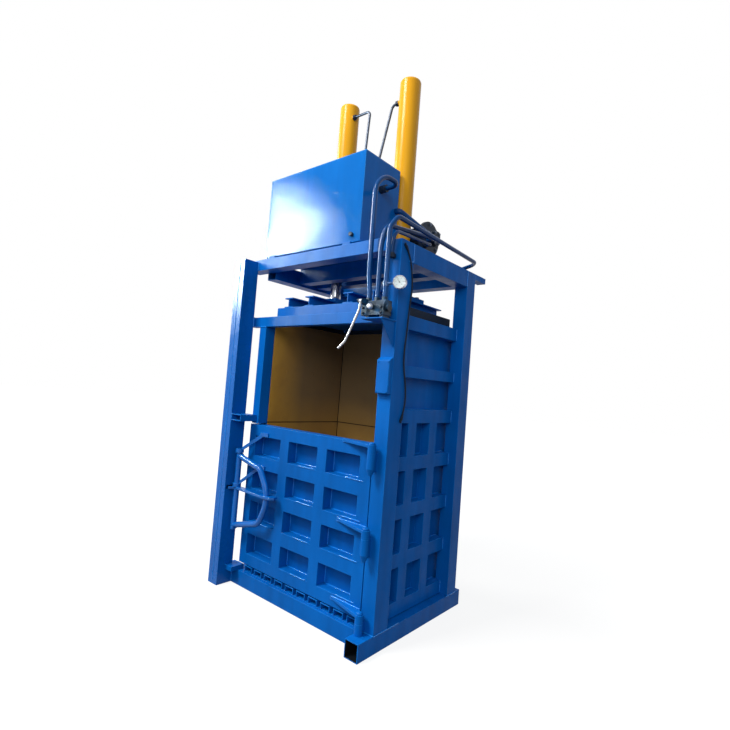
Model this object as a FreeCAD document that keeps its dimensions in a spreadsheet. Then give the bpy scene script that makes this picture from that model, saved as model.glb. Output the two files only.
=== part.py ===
import FreeCAD, Part
import Sketcher
import math
import os
import re

from FreeCAD import Vector

# Vertical twin-cylinder recycling baler. Millimetres, +Z up. The origin is on the floor in the middle
# of the underside of the centre sill, -Y is the loading side with the door, +X is the hinge side.

doc = FreeCAD.newDocument("recycling_baler")
sheet = doc.addObject("Spreadsheet::Sheet", "dims")

SIZES = [
    # frame
    ("frame_half", 614, "centre line to the outer face of the posts"),
    ("rail_w", 90, "width of rails, posts and base beams"),
    ("rail_ht", 95, "height of the base rails"),
    ("rail_wall", 5, "wall of rails, posts and beams"),
    ("rail_front", -538, "open front end of the right rail"),
    ("rail_rear", 489, "rear ends of both rails"),
    ("beam_front", -437, "front face of the front beams"),
    ("frame_ht", 2200, "top of the posts"),
    ("post_front", -420, "front face of the right front post"),
    ("post_front_d", 120, "depth of the right front post"),
    ("post_rear", 327, "front face of the rear posts"),
    ("post_rear_d", 105, "depth of the rear posts"),
    ("side_beam_ht", 108, "height of the top side beams"),
    ("cross_rise", 15, "how far the top cross beams stand over the side beams"),
    ("cross_top", "=frame_ht + cross_rise", "top face of the top cross beams"),
    ("front_beam_ht", 75, "height of the top front beam"),
    ("stub_len", 148, "length of the rear stubs at the top"),
    ("stub_w", 60, "width of the rear stubs"),
    ("stub_ht", 37, "height of the rear stubs"),
    # latch post and its ties
    ("latch_w", 98, "width of the latch post"),
    ("latch_outer", "=-frame_half - latch_w", "outer face of the latch post"),
    ("latch_front", -551, "front face of the latch post"),
    ("latch_wall", 6, "wall of the latch post"),
    ("tie_mid_z", 1096, "underside of the middle tie"),
    ("tie_mid_ht", 43, "height of the middle tie"),
    ("tie_mid_w", 106, "width of the middle tie"),
    ("tie_base_ht", 30, "height of the bottom tie"),
    ("tie_base_w", 67, "width of the bottom tie"),
    ("tie_base_d", 100, "depth of the bottom tie"),
    ("jamb_gap", 10.5, "gap between the door and the jamb over it"),
    ("header_drop", 455, "top of the posts to the underside of the header"),
    ("header_z", "=frame_ht - header_drop", "underside of the header over the feed opening"),
    ("header_ht", 66, "height of the header"),
    ("header_d", 50, "depth of the header"),
    ("header_lap", 50, "how far the header runs behind the latch post"),
    ("jamb_w", 66, "width of the jamb over the door"),
    # chamber
    ("stile_t", 25, "thickness of the stile beside the hinge post"),
    ("chamber_half", "=frame_half - rail_w - stile_t - liner - wall_plate",
     "centre line to the inner face of the side liners"),
    ("chamber_front", -340, "front edges of the chamber walls"),
    ("chamber_rear", 366, "inner face of the rear liner"),
    ("liner", 3, "liner sheet"),
    ("wall_plate", 6, "wall sheet behind the liner"),
    ("rib_d", 60, "how far the wall ribs stand out"),
    ("rib_w", 80, "width of the wall ribs"),
    ("rib_pitch", 273, "height from one wall rib to the next"),
    ("upright_w", 82, "width of the upright ribs"),
    ("upright_y", -154, "front edge of the first upright rib on the side walls"),
    ("upright_pitch", 228, "distance between the upright ribs on the side walls"),
    ("upright_x", 180, "centre line to the upright ribs on the rear wall"),
    ("rib_first", 101, "underside of the lowest wall rib"),
    ("rib_upper", 1457, "underside of the rib beside the feed opening"),
    ("rib_upper_w", 65, "width of the rib beside the feed opening"),
    ("wall_over", 67, "underside of the header to the top of the chamber walls"),
    ("wall_top", "=header_z + wall_over", "top of the chamber walls"),
    ("deck_plate", 6, "floor sheet under the channels"),
    ("channel_w", 74, "width of a floor channel"),
    ("channel_ht", 36, "height of a floor channel"),
    ("channel_wall", 5, "wall of a floor channel"),
    ("channels", 10, "number of floor channels"),
    ("channel_pitch", "=(2 * (chamber_half + liner + wall_plate - eye_gap) - channel_w) / (channels - 1)",
     "distance from one floor channel to the next"),
    ("channel_rear", 470, "rear ends of the floor channels"),
    # door
    ("door_inset", 48, "outer face of the frame to the latch side edge of the door"),
    ("door_left", "=door_inset - frame_half", "latch side edge of the door"),
    ("door_gap", 8, "gap between the door and the hinge post"),
    ("door_width", "=frame_half - rail_w - door_gap - door_left", "width of the door"),
    ("door_bottom", 145, "bottom edge of the door"),
    ("door_rib_d", 70, "how far the door ribs stand out"),
    ("door_plate", 6, "door sheet"),
    ("door_stile", 80, "rib of the door beside the hinges"),
    ("door_mullion", 78, "rib between two fields across the door"),
    ("pocket_inset", 66, "rib of the door beside the lock"),
    ("pocket_ht", 134, "height of a field between the door ribs"),
    ("pocket_pitch_x", "=(door_width + door_mullion - door_stile - pocket_inset) / 3",
     "distance between the fields across the door"),
    ("pocket_w", "=pocket_pitch_x - door_mullion", "width of a field between the door ribs"),
    ("pocket_pitch_z", 217.5, "distance between the fields up the door"),
    ("pocket_left", "=door_left + pocket_inset", "left edge of the first field"),
    ("pocket_low", 216, "lower edge of the first field"),
    ("top_rail", 73, "height of the door's top rib"),
    # hinges
    ("pin_inset", 66, "outer face of the hinge post to the hinge axis"),
    ("pin_x", "=frame_half - pin_inset", "hinge axis across"),
    ("pin_y", -464, "hinge axis in depth"),
    ("pin_r", 12, "radius of the hinge pins"),
    ("pin_fit", 0.05, "radial running clearance of pins and shafts"),
    ("knuckle_r", 23, "outer radius of the hinge eyes"),
    ("arm_plate", 16, "thickness of the tapered hinge arms"),
    ("arm_len", 257, "reach of a hinge arm"),
    ("arm_tip", "=pin_x - arm_len", "where the tip of a hinge arm starts"),
    ("arm_eye", 46, "height of the eye on a hinge arm"),
    ("eye_gap", 0.3, "height clearance of the hinge eyes"),
    ("lug_ht", 118, "height of the hinge lug below the eye"),
    ("lug_fin", 16, "thickness of the fin that carries a hinge lug"),
    ("head_r", 17, "radius of the head of a hinge pin"),
    ("head_ht", 14, "height of the head of a hinge pin"),
    ("hinge_low", 200, "top of the lowest hinge arm"),
    ("hinge_mid", 633, "top of the middle hinge arm"),
    ("hinge_top", 1080, "top of the highest hinge arm"),
    # lock
    ("lock_inset", 38, "outer face of the frame to the lock shaft"),
    ("lock_x", "=lock_inset - frame_half", "lock shaft across"),
    ("lock_y", -484, "lock shaft in depth"),
    ("lock_r", 19, "radius of the lock shaft"),
    ("lock_low", 372, "lower end of the lock shaft"),
    ("lock_top", 904, "upper end of the lock shaft"),
    ("handle_r", 19, "radius of the bent handle tube"),
    ("tongue_z", 638, "underside of the lock tongue"),
    ("tongue_plate", 14, "thickness of the lock tongue"),
    ("tongue_len", 56, "reach of the lock tongue from the shaft axis"),
    ("tongue_w", 20, "width of the lock tongue"),
    ("tongue_rest", 248, "degrees, where the tongue points with the handle against the door"),
    ("bearing_ht", 24, "height of the lock bearings"),
    ("bearing_r", 28, "outer radius of the lock bearings"),
    ("bearing_plate", 10, "thickness of the plates that carry the lock bearings"),
    ("bearing_foot", 26, "height of the foot of a bearing plate"),
    ("bearing_lift", 1, "upper edge of a field to the foot of a bearing plate"),
    ("bearing_top_run", 161, "shaft axis to the foot of the upper bearing plate"),
    ("bearing_mid_run", 151, "shaft axis to the foot of the middle bearing plate"),
    ("handle_top", 858, "upper end of the bent handle"),
    ("handle_low", 396, "lower end of the bent handle"),
    ("handle_reach", 346, "shaft axis to the crown of the bent handle"),
    ("handle_mid_z", 645, "height of the crown of the bent handle"),
    ("handle_up_x", 231, "shaft axis to the upper bend of the handle"),
    ("handle_up_z", 806, "height of the upper bend of the handle"),
    ("handle_down_x", 260, "shaft axis to the lower bend of the handle"),
    ("handle_down_z", 462, "height of the lower bend of the handle"),
    ("handle_bend", 75, "radius of the upper and lower bends of the handle"),
    ("handle_crown", 190, "radius of the crown of the handle"),
    ("web_front", 32, "how far the handle's web stands before the shaft axis"),
    ("web_rear", 40, "how far the handle's web reaches back towards the door"),
    ("web_reach", 390, "shaft axis to the nose of the handle's web"),
    ("keeper_gap", 6, "clearance round the tongue in the keeper slot"),
    # platen
    ("platen_over", 13, "top of the chamber walls to the underside of the raised platen"),
    ("platen_z", "=wall_top + platen_over", "underside of the platen when raised"),
    ("platen_gap", 10, "gap between the platen and the liners"),
    ("platen_front", 4, "gap between the platen and the door sheet"),
    ("platen_ht", 60, "height of the platen tray"),
    ("platen_floor", 15, "pressing plate of the platen"),
    ("platen_rim", 14, "rim of the platen tray"),
    ("joist_ht", 67, "height of the platen joists"),
    ("joist_w", 80, "flange width of the platen joists"),
    ("joist_web", 6, "web of the platen joists"),
    ("joist_flange", 7, "flange of the platen joists"),
    ("joist_half", 100, "joist to cylinder axis"),
    ("foot_side", 270, "side of the rod foot plates"),
    ("foot_plate", 25, "thickness of the rod foot plates"),
    # cylinders
    ("cyl_inset", 218.5, "side liner to the cylinder axis"),
    ("cyl_x", "=chamber_half - cyl_inset", "cylinder axis across"),
    ("cyl_y", 5, "cylinder axis in depth"),
    ("cyl_r", 70, "outer radius of the cylinder tube"),
    ("cyl_bore", 58, "bore radius of the cylinder tube"),
    ("cyl_top", 3432, "top of the cylinders"),
    ("cap_ht", 52, "height of the cylinder cap"),
    ("cap_round", 14, "rounding of the cylinder cap"),
    ("flange_side", 240, "width of the cylinder flanges"),
    ("flange_d", 160, "depth of the cylinder flanges"),
    ("flange_plate", 25, "thickness of the cylinder flanges"),
    ("gland_ht", 70, "length of the rod gland"),
    ("rod_r", 37.5, "radius of the piston rods"),
    ("rod_fit", 0.08, "radial clearance of rods and pistons"),
    ("piston_ht", 60, "length of a piston"),
    ("piston_drop", 12, "space over the piston when raised"),
    ("saddle_w", 80, "width of the beams that carry the cylinders"),
    ("saddle_gap", 100, "opening between the beams that carry the cylinders"),
    # tank
    ("tank_inset", 50, "outer face of the frame to the left face of the oil tank"),
    ("tank_left", "=tank_inset - frame_half", "left face of the oil tank"),
    ("tank_bay", 310, "right face of the oil tank to the outer face of the hinge post"),
    ("tank_right", "=frame_half - tank_bay", "right face of the oil tank"),
    ("tank_front", -420, "front face of the oil tank"),
    ("tank_rear", -80, "rear face of the oil tank"),
    ("tank_ht", 548, "height of the oil tank"),
    ("tank_wall", 4, "wall of the oil tank"),
    ("bearer_w", 60, "width of the bars under the tank"),
    ("bearer_ht", 15, "height of the bars under the tank"),
    ("bearer_gap", 5, "bars under the tank to the cylinder flanges"),
    # power unit
    ("motor_side", 106.5, "cylinder axis to the drive end of the motor across"),
    ("motor_back", 165, "cylinder axis to the motor axis in depth"),
    ("motor_rise", 180, "top of the cross beams to the motor axis"),
    ("motor_right", "=cyl_x + motor_side", "drive end of the motor shell"),
    ("motor_y", "=cyl_y + motor_back", "motor axis in depth"),
    ("motor_z", "=cross_top + motor_rise", "motor axis height"),
    ("motor_r", 80, "radius of the motor shell"),
    ("fin_d", 10, "height of the cooling fins"),
    ("fin_t", 3, "thickness of a cooling fin"),
    ("motor_len", 220, "length of the motor shell"),
    ("motor_left", "=motor_right - motor_len", "fan end of the motor shell"),
    ("drive_r", 116, "radius of the flange at the drive end"),
    ("drive_t", 18, "thickness of the flange at the drive end"),
    ("motor_foot_y", 76, "motor axis to the outer edge of its feet"),
    ("motor_foot_len", 48, "length of a motor foot"),
    ("foot_rise", 44, "motor axis down to the top of its feet"),
    ("motor_foot_w", 34, "width of a motor foot"),
    ("motor_foot_inset", 20, "how far the motor feet stay back from the shell's ends"),
    ("mount_inset", 10, "how far the motor plate stays back from the shell's ends"),
    ("mount_front", 90, "front edge of the motor plate"),
    ("mount_t", 16, "thickness of the motor plate"),
    ("term_w", 92, "width of the terminal box"),
    ("term_d", 96, "length of the terminal box"),
    ("term_ht", 46, "height of the terminal box over the fins"),
    ("cowl_len", 62, "length of the fan cowl"),
    ("cowl_wall", 2, "wall of the fan cowl"),
    ("shaft_r", 12, "radius of the motor shaft"),
    ("fan_r", 74, "radius of the fan"),
    ("fan_set", 10, "gap between the fan and the motor shell"),
    ("fan_clear", 12, "gap between the fan stub and the end of the cowl"),
    ("slot_edge", 8, "how far a cowl slot starts outside the fan hub"),
    ("fan_hub_r", 22, "radius of the fan hub"),
    ("fan_w", 30, "width of the fan blades"),
    ("blade_t", 3, "thickness of a fan blade"),
    ("pump_len", 59, "length of the pump"),
    ("pump_half", 38, "half the width of the pump"),
    ("pump_ht", 90, "height of the pump"),
    ("pump_edge", 14, "bevel along the edges of the pump"),
    ("port_run", 100, "motor axis to the pump ports in depth"),
    ("port_out", 50, "drive end of the shell to the face of the pump ports"),
    ("port_drop", 40, "motor axis down to the upper pump port"),
    ("port_gap", 35, "upper to lower pump port"),
    ("port_rim", 3, "metal round the nuts of the pump ports"),
    ("port_x", "=motor_right + port_out", "face of the pump ports"),
    ("port_y", "=motor_y - port_run", "pump ports in depth"),
    ("port_high", "=motor_z - port_drop", "height of the upper pump port"),
    ("port_low", "=port_high - port_gap", "height of the lower pump port"),
    ("nut_r", 17, "corner radius of the pipe nuts"),
    ("nut_ht", 18, "height of the pipe nuts"),
    ("suction_r", 18, "radius of the suction pipe"),
    ("suction_inset", 20, "rear face of the tank to the suction outlet"),
    ("suction_y", "=tank_rear - suction_inset", "suction outlet on the tank in depth"),
    ("suction_rise", 295, "top of the cross beams to the suction outlet"),
    ("suction_z", "=cross_top + suction_rise", "suction outlet on the tank in height"),
    ("suction_out", 30, "straight piece of the suction pipe at the tank"),
    ("suction_run", 44, "straight piece of the suction pipe at the pump"),
    ("suction_in", 15, "motor axis up to the suction port of the pump"),
    ("suction_rim", 5, "metal round the suction pipe in its nut"),
    ("suction_bend", 34, "bend of the suction pipe at the tank"),
    ("suction_turn", 48, "bend of the suction pipe at the pump"),
    # valve and pipes
    ("shelf_len", 150, "length of the valve shelf"),
    ("shelf_left", "=frame_half - shelf_len", "left edge of the valve shelf"),
    ("shelf_over", 5, "underside of the header to the top of the valve shelf"),
    ("shelf_top", "=header_z + shelf_over", "top of the valve shelf"),
    ("shelf_d", 122, "depth of the valve shelf"),
    ("shelf_t", 6, "thickness of the valve shelf"),
    ("gusset_ht", 140, "height of the shelf gusset"),
    ("valve_inset", 174, "outer face of the hinge post to the left end of the valve"),
    ("valve_left", "=frame_half - valve_inset", "left end of the valve"),
    ("valve_len", 154, "length of the valve"),
    ("valve_front", -514, "front face of the valve"),
    ("valve_d", 70, "depth of the valve"),
    ("valve_lift", 18, "height of the feet under the valve"),
    ("valve_low", "=shelf_top + valve_lift", "underside of the valve body"),
    ("valve_foot_w", 24, "width of a foot under the valve"),
    ("valve_foot_in", 6, "edge of the shelf to a foot of the valve"),
    ("valve_step", 16, "how far the upper half of the valve stands back"),
    ("valve_step_z", 54, "height of the lower half of the valve"),
    ("spool_r", 21, "radius of the spool end"),
    ("spool_len", 14, "length of the spool end"),
    ("plug_run", 75, "left end of the valve to its plug"),
    ("plug_high", 44, "underside of the valve to its plug"),
    ("valve_ht", 82, "height of the valve body"),
    ("pipe_r", 13.5, "radius of the painted pipes"),
    ("line_r", 9, "radius of the cylinder lines"),
    ("pipe_y", -480, "depth of the three rising pipes"),
    ("pipe_a_in", 165, "outer face of the hinge post to the first rising pipe"),
    ("pipe_a", "=frame_half - pipe_a_in", "first rising pipe across"),
    ("pipe_b_in", 94, "outer face of the hinge post to the second rising pipe"),
    ("pipe_b", "=frame_half - pipe_b_in", "second rising pipe across"),
    ("pipe_c_in", 43, "outer face of the hinge post to the third rising pipe"),
    ("pipe_c", "=frame_half - pipe_c_in", "third rising pipe across"),
    ("set_side", 14, "sideways set of the first pipe over its nut"),
    ("set_low", 40, "valve nut to the lower end of the set"),
    ("set_high", 130, "valve nut to the upper end of the set"),
    ("bend_wide", 150, "bends of the set and of the cylinder lines"),
    ("bend_arch", 130, "bend at the top of the first pipe"),
    ("bend_mid", 60, "bends of the pipes on top"),
    ("bend_rise", 200, "bend of the second pipe under the beam"),
    ("bend_port", 36, "bend of the second pipe at the pump"),
    ("bend_run", 50, "bends of the third pipe over the hinge post"),
    ("pipe_b_drop", 50, "top of the posts down to the bend of the second pipe"),
    ("pipe_b_side", 25, "sideways lean of the second pipe"),
    ("pipe_b_rise", 66, "top of the posts to the crown of the second pipe"),
    ("pipe_b_out", 54, "pump nut to the last bend of the second pipe"),
    ("pipe_c_rise", 50, "top of the posts to the bend of the third pipe"),
    ("run_rise", 118, "top of the posts to the run of the third pipe"),
    ("run_front", 24, "outer face of the hinge post to the front of the run"),
    ("run_rear", 74, "outer face of the hinge post to the rear of the run"),
    ("rod_tee", 40, "side of the tee of the rod side pipes"),
    ("rod_tee_run", 285, "cylinder axis to the tee of the rod side pipes"),
    ("line_out", 30, "pump nut to the first bend of the pump line"),
    ("line_bend", 24, "bend of the pump line at the pump"),
    ("line_lean", 12, "sideways lean of the pump line"),
    ("line_rise", 40, "top of the posts to the crown of the pump line"),
    ("line_drop", 35, "bulkhead nut to the last bend of the pump line"),
    ("line_over", 1, "how much thicker the pump line is than the cylinder lines"),
    ("gauge_out", 50, "outer face of the hinge post to the gauge centre"),
    ("gauge_x", "=frame_half + gauge_out", "gauge centre across"),
    ("gauge_over", 171, "underside of the valve to the gauge centre"),
    ("gauge_z", "=valve_low + gauge_over", "gauge centre height"),
    ("gauge_r", 36, "radius of the gauge case"),
    ("gauge_d", 30, "depth of the gauge case"),
    ("gauge_turn", 20, "degrees the gauge is turned towards the hinge side"),
    ("lever_in", 159, "outer face of the hinge post to the lever pivot"),
    ("lever_x", "=frame_half - lever_in", "lever pivot across"),
    ("lever_y", -537, "lever pivot in depth"),
    ("lever_over", 76, "underside of the valve to the lever pivot"),
    ("lever_z", "=valve_low + lever_over", "lever pivot height"),
    ("lever_neck", 10, "sideways reach of the lever to its first bend"),
    ("lever_neck_z", 54, "lever pivot down to its first bend"),
    ("lever_bend_x", 97, "sideways reach of the lever to its second bend"),
    ("lever_bend_z", 222, "lever pivot down to its second bend"),
    ("lever_tip", 142, "sideways reach of the lever to its tip"),
    ("lever_tip_z", 257, "lever pivot down to its tip"),
    ("lever_bend", 40, "bends of the lever rod"),
    ("ear_weld", 4, "how deep the lever ears sit in the valve"),
    ("lever_r", 6.5, "radius of the lever rod"),
    ("lever_hub_r", 11, "radius of the lever hub"),
    ("lever_hub_w", 20, "width of the lever hub"),
    ("lever_pin_r", 4, "radius of the lever pin"),
    ("ear_t", 6, "thickness of the lever ears"),
    ("ear_r", 13, "radius of the lever ears"),
    ("cap_drop", 134, "top of the cylinders to the right cap side port"),
    ("cap_z", "=cyl_top - cap_drop", "height of the right cap side port"),
    ("cap_left_drop", 107, "top of the cylinders to the left cap side port"),
    ("cap_left_z", "=cyl_top - cap_left_drop", "height of the left cap side port"),
    ("rod_port_rise", 43, "top of the cross beams to the rod side ports"),
    ("rod_port_z", "=cross_top + rod_port_rise", "height of the rod side ports"),
    ("boss_rear", 90, "cylinder axis to the face of a rod side boss"),
    ("boss_seat", 1, "how deep a cap side boss sits in the tube"),
    ("boss_r", 16, "radius of the cylinder port bosses"),
    ("boss_y", -25, "port bosses before the cylinder axis"),
    ("boss_reach", 82, "cylinder axis to the face of a port boss"),
    ("tee_x", -12, "tee of the cap side lines across"),
    ("tee_rise", 315, "top of the cross beams to the tee"),
    ("tee_z", "=cross_top + tee_rise", "underside of the tee of the cap side lines"),
    ("tee_port", 22, "tee centre to its two ports"),
    ("tee_inset", 18, "rear face of the tee to its ports"),
    ("cap_tail", 75, "straight piece of the cap side lines over the tee"),
    ("cap_turn", 30, "bend of the cap side lines at the port"),
    ("cap_out", 39.5, "straight piece of the right cap side line at its port"),
    ("cap_left_x", -50, "where the left cap side line turns down"),
    ("cap_mid_x", 90, "middle bend of the right cap side line across"),
    ("cap_mid_y", -42, "middle bend of the right cap side line in depth"),
    ("cap_share", 0.474, "share of its height where the right line bends"),
    ("cap_left_mid", -52, "middle bend of the left cap side line across"),
    ("cap_left_y", -35, "middle bend of the left cap side line in depth"),
    ("cap_left_share", 0.593, "share of its height where the left line bends"),
    ("tee_w", 85, "width of the tee of the cap side lines"),
    ("tee_d", 50, "depth of the tee of the cap side lines"),
    ("tee_ht", 45, "height of the tee of the cap side lines"),
    ("line_a_rise", 375, "top of the cross beams to the line into the tank"),
    ("line_a_z", "=cross_top + line_a_rise", "height of the line into the tank"),
    ("line_a_y", -262, "depth of the line into the tank"),
    ("fit_len", 46, "length of the fitting on the tank"),
    ("fit_r", 23, "radius of the fitting on the tank"),
    ("plug_r", 13, "radius of the drain plug"),
    ("plug_len", 22, "length of the drain plug"),
    ("plug_inset", 62, "drain plug to the right face of the tank"),
    ("plug_z", 44, "drain plug over the underside of the tank"),
    ("filler_r", 30, "radius of the filler cap"),
    ("filler_ht", 44, "height of the filler cap"),
    ("filler_rim", 8, "rim of the filler cap"),
    ("filler_inset", 130, "filler cap to the left and rear faces of the tank"),
    ("bulkhead_drop", 80, "top of the posts to the bulkhead nut"),
    ("bulkhead_z", "=frame_ht - bulkhead_drop", "top of the bulkhead nut on the post"),
    ("bulkhead_in", 48, "outer face of the hinge post to the bulkhead nut"),
    ("bulkhead_x", "=frame_half - bulkhead_in", "bulkhead nut across"),
    ("bulkhead_ht", 26, "height of the bulkhead nut"),
    ("bulkhead_w", 28, "width of the seat of the bulkhead nut"),
    ("bulkhead_out", 20, "front of the post to the bulkhead nut"),
    ("gauge_dial_r", 31, "radius of the gauge dial"),
    ("gauge_recess", 7, "depth of the gauge dial behind the bezel"),
    ("gauge_back", 5, "bevel at the back of the gauge case"),
    ("gauge_bezel", 3, "height of the gauge bezel"),
    ("gauge_lip", 2, "bevel of the gauge bezel"),
    ("gauge_sink", 6, "how deep the stem sits in the gauge case"),
    ("collar_t", 4, "wall of the collar on the third pipe"),
    ("collar_ht", 26, "height of the collar on the third pipe"),
    ("needle_gap", 1.5, "space before and behind the gauge needle"),
    ("gauge_glass_t", 1.5, "thickness of the gauge glass"),
    ("needle_len", 25, "reach of the gauge needle"),
    ("needle_w", 2.4, "width of the gauge needle"),
    ("needle_t", 1, "thickness of the gauge needle"),
    ("spindle_r", 1.5, "radius of the gauge spindle"),
    ("stem_r", 8, "radius of the gauge stem"),
    # box and cable on the hinge post
    ("box_drop", 396, "top of the valve shelf down to the underside of the box"),
    ("box_z", "=shelf_top - box_drop", "underside of the box on the hinge post"),
    ("box_ht", 198, "height of the box on the hinge post"),
    ("box_d", 26, "depth of the box on the hinge post"),
    ("box_w", 86, "width of the box on the hinge post"),
    ("box_slope", 17, "fall of the sloped top of the box"),
    ("cable_r", 4.5, "radius of the cable"),
    ("cable_clear", 1.3, "clearance of the cable from the post"),
    ("gland_len", 20, "length of the cable glands"),
]

for row, (alias, value, note) in enumerate(SIZES, start=1):
    sheet.setAlias("B%d" % row, alias)
for row, (alias, value, note) in enumerate(SIZES, start=1):
    sheet.set("A%d" % row, alias)
    sheet.set("B%d" % row, str(value))
    sheet.set("C%d" % row, note)
doc.recompute()

WORD = re.compile(r"[a-z_]+")
ALIASES = {alias for alias, value, note in SIZES}


def bound(expression):
    """The expression with each alias read from the sheet."""
    return WORD.sub(lambda word: "dims." + word.group() if word.group() in ALIASES else word.group(),
                    str(expression))


def worth(expression):
    """The value of an expression in the sheet's sizes."""
    return float(sheet.evalExpression(str(expression)))


def place(thing, x=0, y=0, z=0):
    """Bind the place of an object to the sheet."""
    for axis, expression in zip("xyz", (x, y, z)):
        thing.setExpression("Placement.Base." + axis, bound(expression))


def block(name, x, y, z, length, width, height):
    """A plate or bar with its low corner at x, y, z."""
    box = doc.addObject("Part::Box", name)
    for prop, expression in (("Length", length), ("Width", width), ("Height", height)):
        box.setExpression(prop, bound(expression))
    place(box, x, y, z)
    return box


def rod(name, radius, height, x=0, y=0, z=0, axis=None, turn=0):
    """A round bar from x, y, z, upright unless an axis and a turn in degrees lay it over."""
    bar = doc.addObject("Part::Cylinder", name)
    bar.setExpression("Radius", bound(radius))
    bar.setExpression("Height", bound(height))
    if axis is not None:
        bar.Placement = FreeCAD.Placement(Vector(), FreeCAD.Rotation(axis, turn))
    place(bar, x, y, z)
    return bar


def cut(name, base, tool):
    """The base less the tool."""
    result = doc.addObject("Part::Cut", name)
    result.Base = base
    result.Tool = tool
    return result


def fuse(name, pieces):
    """Pieces that are welded into one."""
    result = doc.addObject("Part::MultiFuse", name)
    result.Shapes = pieces
    result.Refine = True
    return result


def datum(body, role):
    """One of the body's own origin planes or axes."""
    return next(item for item in body.Origin.OriginFeatures if item.Role == role)


def sketch(body, plane, name):
    """An empty sketch on one of the body's origin planes."""
    drawing = body.newObject("Sketcher::SketchObject", name)
    drawing.AttachmentSupport = [(datum(body, plane), "")]
    drawing.MapMode = "FlatFace"
    return drawing


def outline(drawing, corners):
    """A closed outline whose corners are bound to the sheet."""
    points = [Vector(worth(u), worth(v), 0) for u, v in corners]
    first = drawing.GeometryCount
    for start, end in zip(points, points[1:] + points[:1]):
        drawing.addGeometry(Part.LineSegment(start, end), False)
    for step in range(len(points)):
        follower = first + (step + 1) % len(points)
        drawing.addConstraint(Sketcher.Constraint("Coincident", first + step, 2, follower, 1))
    for step, (u, v) in enumerate(corners):
        for kind, expression, value in (("DistanceX", u, points[step].x), ("DistanceY", v, points[step].y)):
            index = drawing.addConstraint(Sketcher.Constraint(kind, -1, 1, first + step, 1, value))
            drawing.setExpression("Constraints[%d]" % index, bound(expression))


def ring(drawing, u, v, radius):
    """A circle whose centre and radius are bound to the sheet."""
    centre = Vector(worth(u), worth(v), 0)
    index = drawing.addGeometry(Part.Circle(centre, Vector(0, 0, 1), worth(radius)), False)
    for kind, expression, value in (("DistanceX", u, centre.x), ("DistanceY", v, centre.y)):
        place_at = drawing.addConstraint(Sketcher.Constraint(kind, -1, 1, index, 3, value))
        drawing.setExpression("Constraints[%d]" % place_at, bound(expression))
    width = drawing.addConstraint(Sketcher.Constraint("Radius", index, worth(radius)))
    drawing.setExpression("Constraints[%d]" % width, bound(radius))


def box_line(u0, v0, u1, v1):
    """The corners of a rectangle."""
    return [(u0, v0), (u1, v0), (u1, v1), (u0, v1)]


def wall_line(u0, v0, u1, v1, wall):
    """The outer and inner corners of a hollow section."""
    inner = box_line("%s + %s" % (u0, wall), "%s + %s" % (v0, wall), "%s - %s" % (u1, wall),
                     "%s - %s" % (v1, wall))
    return [box_line(u0, v0, u1, v1), inner]


PLANES = {"x": "YZ_Plane", "y": "XZ_Plane", "z": "XY_Plane"}


def pad(body, axis, name, outlines, length, rings=(), lift=0):
    """A pad of the outlines along +X, +Y or +Z from the body's origin plane, or lifted from it."""
    drawing = sketch(body, PLANES[axis], name + "_sketch")
    sign = "-" if axis == "y" else ""
    drawing.setExpression("AttachmentOffset.Base.z", bound("%s(%s)" % (sign, lift)))
    for corners in outlines:
        outline(drawing, corners)
    for u, v, radius in rings:
        ring(drawing, u, v, radius)
    feature = body.newObject("PartDesign::Pad", name + "_pad")
    feature.Profile = drawing
    feature.Reversed = axis == "y"
    feature.setExpression("Length", bound(length))
    return feature


def section(name, axis, start, length, outlines, rings=()):
    """A body of constant section along an axis, from start."""
    body = doc.addObject("PartDesign::Body", name)
    pad(body, axis, name, outlines, length, rings)
    place(body, **{axis: start})
    return body


def revolved(name, corners, x=0, y=0, z=0):
    """A body turned about its own Z axis from a half section of radius and height."""
    body = doc.addObject("PartDesign::Body", name)
    drawing = sketch(body, "XZ_Plane", name + "_sketch")
    outline(drawing, corners)
    feature = body.newObject("PartDesign::Revolution", name + "_turn")
    feature.Profile = drawing
    feature.ReferenceAxis = (drawing, ["V_Axis"])
    feature.Angle = 360
    place(body, x, y, z)
    return body


def route(points, radii):
    """A path of straight runs joined by tangent arcs."""
    edges = []
    start = points[0]
    for corner, radius, before, after in zip(points[1:-1], radii, points[:-2], points[2:]):
        back = (before - corner).normalize()
        ahead = (after - corner).normalize()
        half_turn = (math.pi - back.getAngle(ahead)) / 2
        reach = radius * math.tan(half_turn)
        entry = corner + back * reach
        leave = corner + ahead * reach
        middle = (back + ahead).normalize()
        crown = corner + middle * (radius / math.cos(half_turn) - radius)
        if (entry - start).Length > 1e-6:
            edges.append(Part.LineSegment(start, entry).toShape())
        edges.append(Part.Arc(entry, crown, leave).toShape())
        start = leave
    edges.append(Part.LineSegment(start, points[-1]).toShape())
    return Part.Wire(edges)


def swept(name, points, radii, radius):
    """A round bar or tube swept along a path."""
    spine = doc.addObject("Part::Feature", name + "_path")
    spine.Shape = route(points, [worth(bend) for bend in radii])
    circle = doc.addObject("Part::Circle", name + "_circle")
    circle.setExpression("Radius", bound(radius))
    heading = (points[1] - points[0]).normalize()
    circle.Placement = FreeCAD.Placement(points[0], FreeCAD.Rotation(Vector(0, 0, 1), heading))
    sweep = doc.addObject("Part::Sweep", name)
    sweep.Sections = [circle]
    sweep.Spine = (spine, ["Edge%d" % (n + 1) for n in range(len(spine.Shape.Edges))])
    sweep.Solid = True
    sweep.Frenet = False
    return sweep


def spot(x, y, z):
    """A point from expressions in the sheet's sizes."""
    return Vector(worth(x), worth(y), worth(z))


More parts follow.
